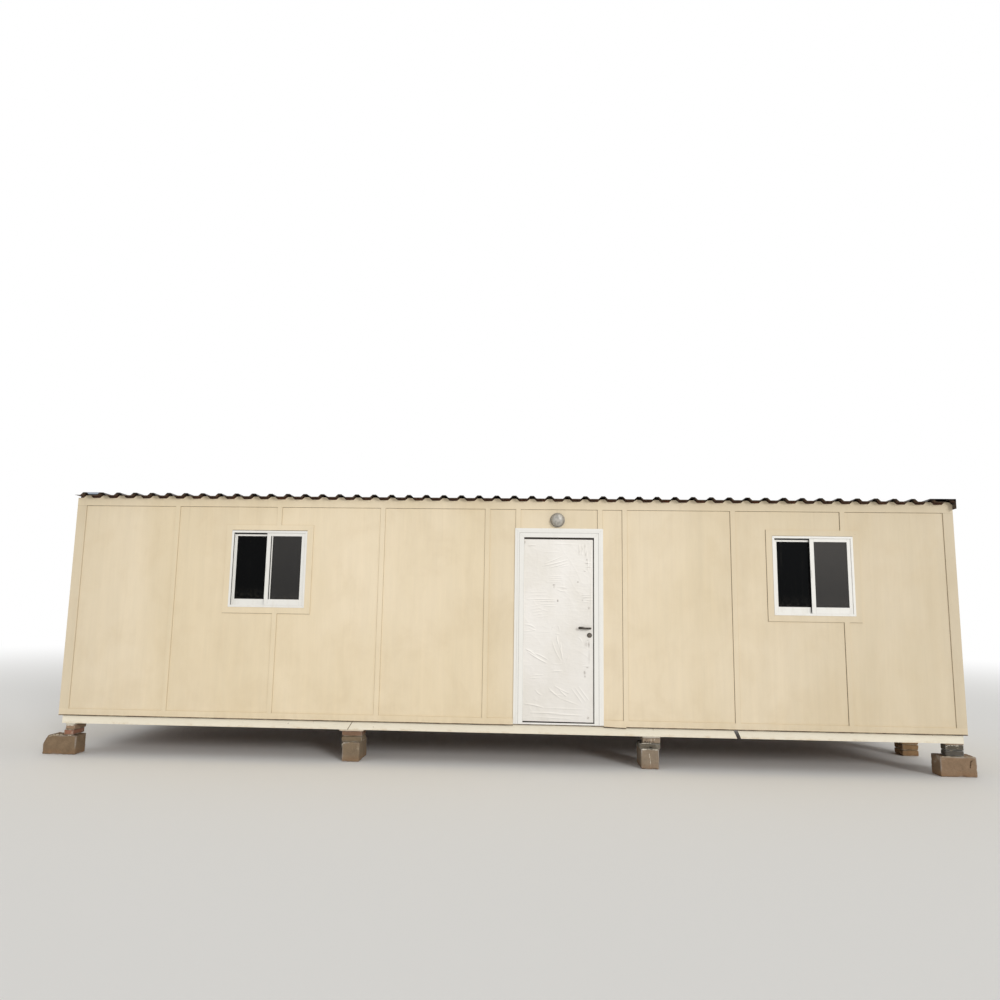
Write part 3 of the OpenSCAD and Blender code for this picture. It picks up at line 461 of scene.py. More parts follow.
def makeFloorBoard(settings):
    paint = Paint("floorBoard", settings, "board", 0.35)
    grain = paint.noise(7, 6, (0.35, 4.5, 1), 0.65, 0.5)
    paint.cover(grain.rise(0.36, 0.66), "dark")
    paint.shade(paint.cells(42, (1, 2.2, 1), "Color"), 0.1)
    joint = paint.seams(settings["width"], 0.495, 0.498)
    paint.cover(joint, "joint")
    return paint.feed(0.5 + grain * 0.2, [(1 - joint, 0.001), (grain, 0.0006)])


stonePaint = {"pore": rgb(86, 74, 62), "pale": rgb(212, 203, 186), "soil": rgb(142, 108, 78)}


def makeStone(name, settings, grit):
    # the tone of each piece comes from its own mesh
    paint = Paint(name, settings, None, 0.2)
    paint.colour = paint.layer("tone", "Color")
    soft = paint.noise(11, 5, None, 0.65)
    sand = paint.noise(grit, 4, None, 0.7)
    paint.shade(soft, 0.34)
    paint.shade(paint.noise(grit * 0.35, 4, None, 0.7), 0.22)
    paint.shade(sand, 0.26)
    pores = paint.cells(grit * 0.7).fall(0.1, 0.26) * paint.noise(30, 3).rise(0.4, 0.62)
    paint.cover(pores * 0.55, "pore")
    bloom = paint.noise(6, 5, None, 0.7).rise(0.56, 0.74)
    paint.cover(bloom * 0.35, "pale")
    soil = paint.z.fall(0.0, 0.09) * paint.noise(14, 4).rise(0.25, 0.65)
    paint.cover(soil * 0.55, "soil")
    return paint.feed(0.86 + sand * 0.1, [(soft, 0.004), (sand, 0.0022), (1 - pores, 0.0016)])


gapPaint = {"cream": rgb(226, 209, 177), "dark": rgb(72, 54, 36)}


def makeGapPaint(settings):
    # how dark a joint is comes from its mesh
    paint = Paint("jointDirtAndShade", settings, "cream", 0.2)
    broken = paint.noise(7, 4, None, 0.7).rise(0.3, 0.6)
    paint.cover(paint.layer("depth") * (0.72 + broken * 0.28), "dark")
    return paint.feed(0.8 + broken * 0.1, [(paint.noise(200, 2), 0.0002)])


smallPaint = {
    "rubber": rgb(38, 37, 36), "sealAndShadow": rgb(44, 36, 31), "groove": rgb(196, 193, 186),
    "faintGroove": rgb(224, 222, 216), "deepGroove": rgb(186, 183, 177), "fitting": rgb(226, 224, 218),
    "lampBody": rgb(150, 148, 144),
}


def makeSmall(name, settings, tone, rough, spread=0.12):
    paint = Paint(name, settings, tone, 0.35)
    soft = paint.noise(30, 4)
    paint.shade(soft, spread)
    return paint.feed(rough + soft * 0.15, [(paint.noise(500, 2), 0.0001)])


paints = {
    "board": makeCream("boardPaint", creamPaint, True, 1.0),
    "trim": makeCream("trimPaint", creamPaint, False, 0.7),
    "corner": makeCream("cornerPaint", darker(creamPaint, 0.95), False, 0.7),
    "screw": makeCream("screwPaint", creamPaint, False, 0.4),
    "lining": makeLining(liningPaint),
    "window": makeWhite("windowPaint", darker(whitePaint, 0.95), 1.69),
    "doorFrame": makeWhite("doorFramePaint", darker(whitePaint, 0.97), 0.46),
    "ceiling": makeWhite("ceilingPaint", whitePaint, 0.0),
    "leaf": makeLeaf(leafPaint),
    "film": makeFilm(filmPaint),
    # the outer panes are grey where the inner ones are dark: a painted reflection
    "greyReflectionGlass": makeGlass("greyReflectionGlass", glassPaint, "grey", 0.28, 0.82),
    "darkGlass": makeGlass("darkGlass", glassPaint, "dark", 0.06, 0.93),
    "lampGlass": makeLampGlass(lampPaint),
    "lampBody": makeSmall("lampBody", smallPaint, "lampBody", 0.4),
    "lever": makeBrushed("leverMetal", metalPaint, "lever", "handled", (0.05, 1, 1), paintedHighlight=True),
    "rose": makeBrushed("roseMetal", metalPaint, "lever", "handled", (1, 1, 0.2)),
    "lock": makeBrushed("lockMetal", metalPaint, "lock", "lockWorn", (1, 1, 0.2)),
    "hinge": makeBrushed("hingeSteel", metalPaint, "steel", "worn", (1, 1, 0.1)),
    "roof": makeRoof("roofPaint", roofPaint, False),
    "flashing": makeRoof("flashingPaint", roofPaint, True),
    "rail": makeRail(railPaint),
    "primer": makePrimer(primerPaint),
    "floor": makeFloorBoard(floorPaint),
    "concrete": makeStone("blockStone", stonePaint, 150),
    "brick": makeStone("brickStone", stonePaint, 240),
    "mortar": makeStone("mortarStone", stonePaint, 320),
    "rubber": makeSmall("rubber", smallPaint, "rubber", 0.6),
    "gap": makeGapPaint(gapPaint),
    "sealAndShadow": makeSmall("doorSealAndShadow", smallPaint, "sealAndShadow", 0.6),
    "groove": makeSmall("frameGroove", smallPaint, "groove", 0.5),
    "faintGroove": makeSmall("faintGroove", smallPaint, "faintGroove", 0.5),
    "deepGroove": makeSmall("deepGroove", smallPaint, "deepGroove", 0.5),
    "fitting": makeSmall("windowFitting", smallPaint, "fitting", 0.35, 0.04),
    "zinc": makeBrushed("screwZinc", metalPaint, "steel", "worn", (1, 1, 1)),
}
print("materials are mixed:", len(paints))

nodePaint = {
    "board": ["front_cladding", "rear_cladding", "end_cladding"],
    "trim": ["cover_strips", "head_trims", "base_trims", "window_surrounds"],
    "corner": ["corner_trims"],
    "lining": ["front_wall_left", "front_wall_right", "front_wall_over_door", "rear_wall", "left_end_wall",
               "right_end_wall"],
    "window": ["left_window_frame", "left_window_outer_sash", "left_window_inner_sash", "right_window_frame",
               "right_window_outer_sash", "right_window_inner_sash"],
    "doorFrame": ["door_frame"],
    "ceiling": ["ceiling_panel"],
    "leaf": ["door_leaf"],
    "darkGlass": ["left_window_glass", "right_window_glass"],
    "lampGlass": ["lamp_dome"],
    "lampBody": ["lamp_base"],
    "lock": ["door_roses"],
    "lever": ["door_lever"],
    "hinge": ["frame_hinges", "leaf_hinges"],
    "roof": ["roof_sheets_under", "roof_sheets_over"],
    "flashing": ["verge_flashings"],
    "rail": ["front_base_rail", "rear_base_rail", "end_base_rails"],
    "primer": ["floor_joists", "roof_frame"],
    "floor": ["floor_deck"],
    "concrete": ["pier_blocks"],
    "brick": ["pier_bricks_lower", "pier_bricks_upper"],
    "mortar": ["pier_shims"],
}
for paintName, nodeNames in nodePaint.items():
    for nodeName in nodeNames:
        nodes[nodeName].data.materials.clear()
        nodes[nodeName].data.materials.append(paints[paintName])
print("frame nodes are painted")


alongX, alongY, alongZ = Vector((1, 0, 0)), Vector((0, 1, 0)), Vector((0, 0, 1))


def addPiece(name, bm, paintName, body="cabin", stands=(), smooth=False):
    # a new piece of the cabin from a bmesh; stands lists the nodes it is shown instead of
    bmesh.ops.recalc_face_normals(bm, faces=bm.faces)
    mesh = bpy.data.meshes.new(name)
    bm.to_mesh(mesh)
    bm.free()
    for face in mesh.polygons:
        face.use_smooth = smooth
    mesh.materials.append(paints[paintName])
    piece = bpy.data.objects.new(name, mesh)
    scene.collection.objects.link(piece)
    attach(piece, body)
    if stands:
        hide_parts(*stands)
    return piece


def solidsOf(nodeName):
    # the boxes of a node's separate solids, lowest and highest corner of each
    mesh = nodes[nodeName].data
    keys = [tuple(round(c, 5) for c in vertex.co) for vertex in mesh.vertices]
    home = {key: key for key in keys}

    def root(key):
        while home[key] != key:
            home[key] = home[home[key]]
            key = home[key]
        return key

    for face in mesh.polygons:
        first = root(keys[face.vertices[0]])
        for corner in face.vertices[1:]:
            home[root(keys[corner])] = first
    groups = {}
    for key in home:
        groups.setdefault(root(key), []).append(key)
    boxes = [(Vector(map(min, zip(*g))), Vector(map(max, zip(*g)))) for g in groups.values()]
    return sorted(boxes, key=lambda box: tuple(box[0]))


def boxOf(nodeName):
    return [Vector(corner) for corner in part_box(nodeName)]


def wallOf(low, high):
    # the wall on which a flat trim lies
    if high[1] - low[1] < 0.02:
        return "front" if low[1] < 0 else "rear"
    return "left" if low[0] < 0 else "right"


def spindleSpot():
    # x and z of the lever's axis
    roses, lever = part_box("door_roses"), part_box("door_lever")
    return (roses[0][0] + roses[1][0]) / 2, (lever[0][2] + lever[1][2]) / 2


def addBox(bm, low, high, bevel=0.0):
    low, high = Vector(low), Vector(high)
    part = bmesh.new()
    bmesh.ops.create_cube(part, size=1)
    for vertex in part.verts:
        vertex.co = Vector(a * b for a, b in zip(vertex.co, high - low)) + (low + high) / 2
    if bevel:
        edges = list(part.edges)
        bmesh.ops.bevel(part, geom=edges, offset=bevel, segments=2, affect="EDGES", profile=0.6)
    # a bevel leaves corners and faces in an order that can differ from run to run, so both are sorted
    corners = sorted(part.verts, key=lambda vertex: tuple(round(c, 6) for c in vertex.co))
    order = {vertex: i for i, vertex in enumerate(corners)}
    made = [bm.verts.new(vertex.co) for vertex in corners]
    rings = [[order[vertex] for vertex in face.verts] for face in part.faces]
    for ring in sorted(ring[ring.index(min(ring)):] + ring[:ring.index(min(ring))] for ring in rings):
        bm.faces.new([made[i] for i in ring])
    part.free()
    return made


def addBar(bm, start, end, across, out):
    # a thin bar from start to end; across and out give its width and thickness
    start, end, across, out = (Vector(v) for v in (start, end, across, out))
    nil = Vector((0, 0, 0))
    low = [bm.verts.new(start + step) for step in (nil, across, across + out, out)]
    top = [bm.verts.new(v.co + end - start) for v in low]
    bm.faces.new(low)
    bm.faces.new(top[::-1])
    for i in range(4):
        j = (i + 1) % 4
        bm.faces.new((low[i], top[i], top[j], low[j]))


def addFrame(bm, low, high, width, y1, y2):
    # a flat frame in a plane across Y, with square corners
    rings = []
    for y in (y1, y2):
        for grow in (0, width):
            x1, z1, x2, z2 = low[0] + grow, low[2] + grow, high[0] - grow, high[2] - grow
            rings.append([bm.verts.new((x, y, z)) for x, z in ((x1, z1), (x2, z1), (x2, z2), (x1, z2))])
    for a, b in ((0, 1), (1, 3), (3, 2), (2, 0)):
        for i in range(4):
            j = (i + 1) % 4
            bm.faces.new((rings[a][i], rings[a][j], rings[b][j], rings[b][i]))


def addJoint(bm, start, end, front):
    # a fine line between two spots (x, z) on a face towards -Y, where two profiles meet
    a, b = Vector((start[0], front - 0.0002, start[1])), Vector((end[0], front - 0.0002, end[1]))
    across = Vector((a[2] - b[2], 0, b[0] - a[0])).normalized() * 0.0008
    addBar(bm, a - across / 2, b - across / 2, across, alongY * 0.0006)


def addMitres(bm, low, high, face, corners):
    # joints at the corners of a frame; each corner says 0 or 1 for low or high in x and in z
    for x, z in corners:
        outX, outZ = (low[0], high[0])[x], (low[2], high[2])[z]
        addJoint(bm, (outX, outZ), (outX + (face, -face)[x], outZ + (face, -face)[z]), low[1])


def addTube(bm, rings, foot=True):
    # faces between rings of corners, over the last ring and, with foot, over the first
    for low, high in zip(rings, rings[1:]):
        for i in range(len(low)):
            j = (i + 1) % len(low)
            bm.faces.new((low[i], low[j], high[j], high[i]))
    if foot:
        bm.faces.new(rings[0][::-1])
    bm.faces.new(rings[-1])


def addLathe(bm, profile, turns, place, axes):
    # profile is a list of radius and height; axes are the two across and the one along
    rings = []
    for radius, height in profile:
        rings.append([])
        for i in range(turns):
            angle = math.tau * i / turns
            across = axes[0] * math.cos(angle) + axes[1] * math.sin(angle)
            rings[-1].append(bm.verts.new(place + across * radius + axes[2] * height))
    addTube(bm, rings)


# dark joints beside the trims, partly dirt and partly painted shade, deeper on the sides that are turned
# from the light
gapSettings = {
    "width": 0.0045, "thick": 0.0016, "sink": 0.0004,
    "lower": 0.75, "upper": 0.12, "rear": 0.45,
    # how dark it is at both sides of a strip; on the right part the left side grows darker with x
    "strips": {"from": -0.5, "before": (0.15, 0.35), "start": 0.42, "grow": 0.13, "most": 0.95,
               "after": 0.12},
    "sides": {"leftWindow": (0.08, 0.22, 0.65, 0.08), "rightWindow": (0.8, 0.08, 0.5, 0.08)},
    "corners": {"left": 0.45, "right": 0.58}, "cornerTop": 2.86,
    "footHigh": 0.0105, "footBack": 0.0015, "footDepth": 0.0245, "baseHigh": 0.065,
    "frameHead": {"left": (0.0065, 0.9), "right": (0.0045, 0.75)},
    "step": {"drop": 0.0085, "high": 0.008, "out": 0.009},      # below the door frame
    # lines on the front rail: the closed splice and two short nicks below the wall
    "railMarks": [(-1.675, 0.351, -1.615, 0.449, 0.009, 0.85), (1.731, 0.418, 1.732, 0.449, 0.005, 0.55),
                  (4.734, 0.426, 4.735, 0.449, 0.005, 0.55)],
}


def makeGaps(settings):
    bm = bmesh.new()
    layer = bm.verts.layers.float.new("depth")
    wide, thick, sink = settings["width"], settings["thick"], settings["sink"]
    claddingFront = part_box("front_cladding")[0][1]
    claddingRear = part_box("rear_cladding")[1][1]
    endLeft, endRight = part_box("end_cladding")[0][0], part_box("end_cladding")[1][0]
    # for each wall its run, a spot on its face, the way out and the number of the axis along it
    walls = {"front": (alongX, Vector((0, claddingFront + sink, 0)), -alongY, 0),
             "rear": (alongX, Vector((0, claddingRear - sink, 0)), alongY, 0),
             "left": (alongY, Vector((endLeft + sink, 0, 0)), -alongX, 1),
             "right": (alongY, Vector((endRight - sink, 0, 0)), alongX, 1)}

    def bar(start, end, across, out, depth):
        known = len(bm.verts)
        addBar(bm, start, end, across, out)
        bm.verts.ensure_lookup_table()
        for vertex in bm.verts[known:]:
            vertex[layer] = depth

    def upright(wall, at, low, high, side, depth, grow=0):
        # beside a trim that spans low to high; side says on which side of the line it lies
        run, face, out = walls[wall][:3]
        spot = face + run * at
        ends = spot + alongZ * (low[2] - grow), spot + alongZ * (high[2] + grow)
        bar(*ends, run * (side * wide), out * thick, depth)

    def level(wall, low, high, z, side, depth, fall=0):
        run, face, out, along = walls[wall]
        ends = face + run * low[along] + alongZ * (z + fall), face + run * high[along] + alongZ * z
        bar(*ends, alongZ * (side * wide), out * thick, depth)

    for low, high in solidsOf("cover_strips"):
        wall = wallOf(low, high)
        along = walls[wall][3]
        x = (low[0] + high[0]) / 2
        left = right = settings["rear"]
        strips = settings["strips"]
        if wall == "front" and x > strips["from"]:
            left, right = min(strips["most"], strips["start"] + strips["grow"] * x), strips["after"]
        elif wall == "front":
            left, right = strips["before"]
        upright(wall, low[along], low, high, -1, left)
        upright(wall, high[along], low, high, 1, right)
    for low, high in solidsOf("corner_trims"):
        left, front = low[0] < 0, low[1] < 0
        depth = settings["corners"]["left" if left else "right"] if front else settings["rear"]
        at, side = (high[0], 1) if left else (low[0], -1)
        upright("front" if front else "rear", at, low, high, side, depth)
        at, side = (high[1], 1) if front else (low[1], -1)
        upright("left" if left else "right", at, low, high, side, settings["rear"])
        if front:
            start = Vector((low[0], low[1] - 0.0003, settings["cornerTop"] - 0.002))
            bar(start, start + alongX * (high[0] - low[0]), alongZ * 0.002, alongY * 0.003, 0.5)
    for low, high in solidsOf("head_trims"):
        wall = wallOf(low, high)
        if wall in ("front", "rear"):
            level(wall, low, high, low[2], -1, settings["lower"])
        else:
            level(wall, low, high, low[2], -1, settings["rear"], roofFall * (high[1] - low[1]))
    for low, high in solidsOf("base_trims"):
        wall = wallOf(low, high)
        run, face, out, along = walls[wall]
        level(wall, low, high, high[2], 1, settings["upper"])
        edge = {"front": low[1], "rear": high[1], "left": low[0], "right": high[0]}[wall]
        # a dark strip under the base trim, in front of the rail: partly dirt, partly painted shade
        spot = out * (abs(edge) - settings["footBack"]) - alongZ * (settings["footHigh"] + 0.0002)
        start = high[2] - settings["baseHigh"]      # one of them droops towards its far end
        bar(spot + run * low[along] + alongZ * start, spot + run * high[along] + alongZ * low[2],
            alongZ * settings["footHigh"], -out * settings["footDepth"], 1.0)
    low, high = boxOf("door_frame")
    step = settings["step"]
    start = Vector((low[0], claddingFront, low[2] - step["drop"]))
    bar(start, start + alongX * (high[0] - low[0]), alongZ * step["high"], -alongY * step["out"], 1.0)
    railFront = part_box("front_base_rail")[0][1] + 0.0004
    for x1, z1, x2, z2, across, depth in settings["railMarks"]:
        start, end = Vector((x1 - across / 2, railFront, z1)), Vector((x2 - across / 2, railFront, z2))
        bar(start, end, alongX * across, -alongY * 0.0012, depth)
    # a painted shadow along the head of each window frame
    for side, (tall, depth) in settings["frameHead"].items():
        low, high = boxOf(f"{side}_window_frame")
        start = Vector((low[0], claddingFront - 0.0092, high[2] + 0.0004))
        bar(start, start + alongX * (high[0] - low[0]), alongZ * tall, alongY * 0.004, depth)
    # joints round the window surrounds, darkest at the sides that lie in painted shade
    for low, high in solidsOf("window_surrounds"):
        depths = settings["sides"]["leftWindow" if low[0] < 0 else "rightWindow"]
        for x, side, depth in ((low[0], -1, depths[0]), (high[0], 1, depths[1])):
            upright("front", x, low, high, side, depth, wide)
        for z, side, depth in ((low[2], -1, depths[2]), (high[2], 1, depths[3])):
            level("front", low, high, z, side, depth)
    addPiece("trimGapsAndShade", bm, "gap")


makeGaps(gapSettings)

# small round screw heads down the middle of every trim
screwSettings = {
    "radius": 0.0048, "height": 0.0022, "spacing": 0.42, "end": 0.06,
    "level": {"front": 0.035, "end": 0.03},         # height over the foot of a level trim
    "corner": 0.03, "surround": 0.034, "surroundEnd": 0.28, "trimHigh": 0.1,
}


def makeScrews(settings):
    bm = bmesh.new()
    r, h = settings["radius"], settings["height"]
    profile = [(r, -0.0004), (r, h * 0.35), (r * 0.8, h * 0.8), (r * 0.4, h), (r * 0.12, h * 0.86)]

    def row(start, end, out):
        start, end = Vector(start), Vector(end)
        count = max(1, round((end - start).length / settings["spacing"]))
        for i in range(count + 1):
            addLathe(bm, profile, 10, start.lerp(end, i / count), (alongZ.cross(out), alongZ, out))

    inset = settings["end"]
    for low, high in solidsOf("cover_strips") + solidsOf("base_trims") + solidsOf("head_trims"):
        size, middle = high - low, (low + high) / 2
        facing = 1 if wallOf(low, high) in ("front", "rear") else 0
        run = 1 - facing
        out = (alongX, alongY)[facing] * (-1 if low[facing] < 0 else 1)

        def spot(along, z):
            place = Vector((0, 0, z))
            place[run], place[facing] = along, low[facing] if low[facing] < 0 else high[facing]
            return place

        if size[run] < size[2]:
            row(spot(middle[run], low[2] + inset), spot(middle[run], high[2] - inset), out)
        else:
            fall = 0 if facing else max(0, size[2] - settings["trimHigh"])
            level = settings["level"]
            z = low[2] + (min(level["front"], size[2] / 2) if facing else level["end"])
            row(spot(low[run] + inset, z + fall), spot(high[run] - inset, z), out)
    edge = settings["corner"]
    for low, high in solidsOf("corner_trims"):
        left, front = low[0] < 0, low[1] < 0
        x, y = (low[0] if left else high[0]), (low[1] if front else high[1])
        inX, inY = (x + edge if left else x - edge), (y + edge if front else y - edge)
        for spot, out in (((x, inY), -alongX if left else alongX), ((inX, y), -alongY if front else alongY)):
            row((*spot, low[2] + inset), (*spot, high[2] - inset), out)
    edge, inset = settings["surround"], settings["surroundEnd"]
    for low, high in solidsOf("window_surrounds"):
        for x in (low[0] + edge, high[0] - edge):
            row((x, low[1], low[2] + edge), (x, low[1], high[2] - edge), -alongY)
        for z in (low[2] + edge, high[2] - edge):
            row((low[0] + inset, low[1], z), (high[0] - inset, low[1], z), -alongY)
    addPiece("trimScrews", bm, "screw", smooth=True)


makeScrews(screwSettings)
print("trims have their screws and joints")

# hexagon screws with washers on every other rib, over the purlins
roofScrewSettings = {
    "firstRib": -4.895, "pitch": 0.2027, "ribs": 50, "each": 2,
    "rows": (-1.3, -0.45, 0.45, 1.4),
    "crest": 3.0037, "crestAt": -1.5,
    "washer": [(0.0085, -0.0015), (0.0085, 0.001), (0.006, 0.002)],
    "head": [(0.005, 0.0015), (0.005, 0.0058), (0.0042, 0.0066)],
}


def makeRoofScrews(settings):
    washers, heads = bmesh.new(), bmesh.new()
    up = Vector((0, roofFall, 1)).normalized()
    along = Vector((0, 1, -roofFall)).normalized()
    for i in range(0, settings["ribs"], settings["each"]):
        for y in settings["rows"]:
            z = settings["crest"] - roofFall * (y - settings["crestAt"])
            place = Vector((settings["firstRib"] + i * settings["pitch"], y, z))
            addLathe(washers, settings["washer"], 12, place, (alongX, along, up))
            addLathe(heads, settings["head"], 6, place, (alongX, along, up))
    addPiece("roofWashers", washers, "rubber")
    addPiece("roofScrewHeads", heads, "zinc")


makeRoofScrews(roofScrewSettings)

# panes, their rubber and the beads round them, in both windows
windowSettings = {
    "stile": {"outer": 0.039, "inner": 0.03}, "meeting": 0.045, "top": 0.036, "bottom": 0.068,
    "face": 0.024, "beadWidth": 0.008, "beadBack": 0.0035, "rubber": 0.0025, "glass": 0.005,
    "lap": 0.006,       # how far a pane reaches into its sash
    "trackShade": {"head": 0.016, "jamb": 0.009, "stile": 0.016},
    "behind": (0.003, 0.011, 0.023, 0.032),     # edges of the painted shade and of the pale stile edge on the grey pane
    "pull": {"in": 0.012, "wide": 0.01, "tall": 0.09, "thick": 0.003},
}


def makeWindow(side, settings):
    panes, beads, rubber, fittings, joints = {}, bmesh.new(), bmesh.new(), bmesh.new(), bmesh.new()
    addMitres(joints, *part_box(f"{side}_window_frame"), settings["face"], ((0, 0), (1, 0), (0, 1), (1, 1)))
    # the grey of the outer panes is a painted reflection
    for sash, paintName in (("outer", "greyReflectionGlass"), ("inner", "darkGlass")):
        low, high = boxOf(f"{side}_window_{sash}_sash")
        outerLeft = sash == "inner"         # the inner sash has its outer stile at the left
        stile = settings["stile"][sash]
        x1 = low[0] + (stile if outerLeft else settings["meeting"])
        x2 = high[0] - (settings["meeting"] if outerLeft else stile)
        z1, z2 = low[2] + settings["bottom"], high[2] - settings["top"]
        for x in (x1, x2):
            for za, zb in ((low[2], z1), (z2, high[2])):
                addJoint(joints, (x, za), (x, zb), low[1])
        y = (low[1] + high[1]) / 2
        half, lap = settings["glass"] / 2, settings["lap"]
        bm = bmesh.new()
        addBox(bm, (x1 - lap, y - half, z1 - lap), (x2 + lap, y + half, z2 + lap), 0.0008)
        panes[sash] = (bm, paintName)
        inner, room = settings["beadWidth"], high[1] - settings["beadBack"]
        addFrame(beads, (x1, 0, z1), (x2, 0, z2), inner, room, y + half)
        addFrame(rubber, (x1 + inner, 0, z1 + inner), (x2 - inner, 0, z2 - inner), settings["rubber"],
                 (room + y + half) / 2, y + half)
        addFrame(rubber, (x1, 0, z1), (x2, 0, z2), settings["rubber"], y - half - 0.001, y - half)
        trackShade = settings["trackShade"]
        if sash == "outer":
            # painted shade: dark strips in the empty half of the front track, and beside the stile
            frameLow, frameHigh = boxOf(f"{side}_window_frame")
            frontRib = high[1] + 0.001
            left, head = frameLow[0] + settings["face"], frameHigh[2] - settings["face"]
            addBox(rubber, (left, frontRib - 0.0014, head - trackShade["head"]), (low[0], frontRib, head))
            addBox(rubber, (low[0] - 0.0008, low[1] + 0.0012, low[2]), (low[0], high[1], high[2]))
            if side == "left":
                addBox(rubber, (left, low[1], low[2]), (left + 0.0035, low[1] + trackShade["jamb"], head))
                # on the grey pane: a dark strip of painted shadow from the front stile, the pale edge of the
                # other stile behind it, then a dark strip of painted shade
                xa, xb, xc, xd = (x1 + step for step in settings["behind"])
                front = y - half - 0.0012
                addBox(rubber, (xa, front, z1), (xb, y - half, z2))
                addBox(fittings, (xb, front - 0.0004, z1), (xc, y - half, z2))
                addBox(rubber, (xc, front, z1), (xd, y - half, z2))
            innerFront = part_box(f"{side}_window_inner_sash")[0][1]
            addBox(rubber, (low[0] - 0.003, innerFront - 0.0006, low[2] + 0.012),
                   (low[0] - 0.003 + trackShade["stile"], innerFront, high[2] - 0.01))
        pull = settings["pull"]
        grip = low[0] + pull["in"] if sash == "outer" else high[0] - pull["in"]
        y1 = low[1] - pull["thick"] if sash == "outer" else high[1]
        middle, size = Vector((grip, y1, (z1 + z2) / 2)), Vector((pull["wide"] / 2, 0, pull["tall"] / 2))
        addBox(fittings, middle - size, middle + size + alongY * pull["thick"], 0.0009)
    for sash, (bm, paintName) in panes.items():
        addPiece(f"{side}WindowPane_{sash}", bm, paintName, stands=[f"{side}_window_glass"])
    addPiece(f"{side}WindowBeads", beads, "window")
    addPiece(f"{side}WindowRubberAndShade", rubber, "rubber")
    addPiece(f"{side}WindowPulls", fittings, "fitting")
    addPiece(f"{side}WindowJoints", joints, "deepGroove")


makeWindow("left", windowSettings)
makeWindow("right", windowSettings)
print("windows are glazed")

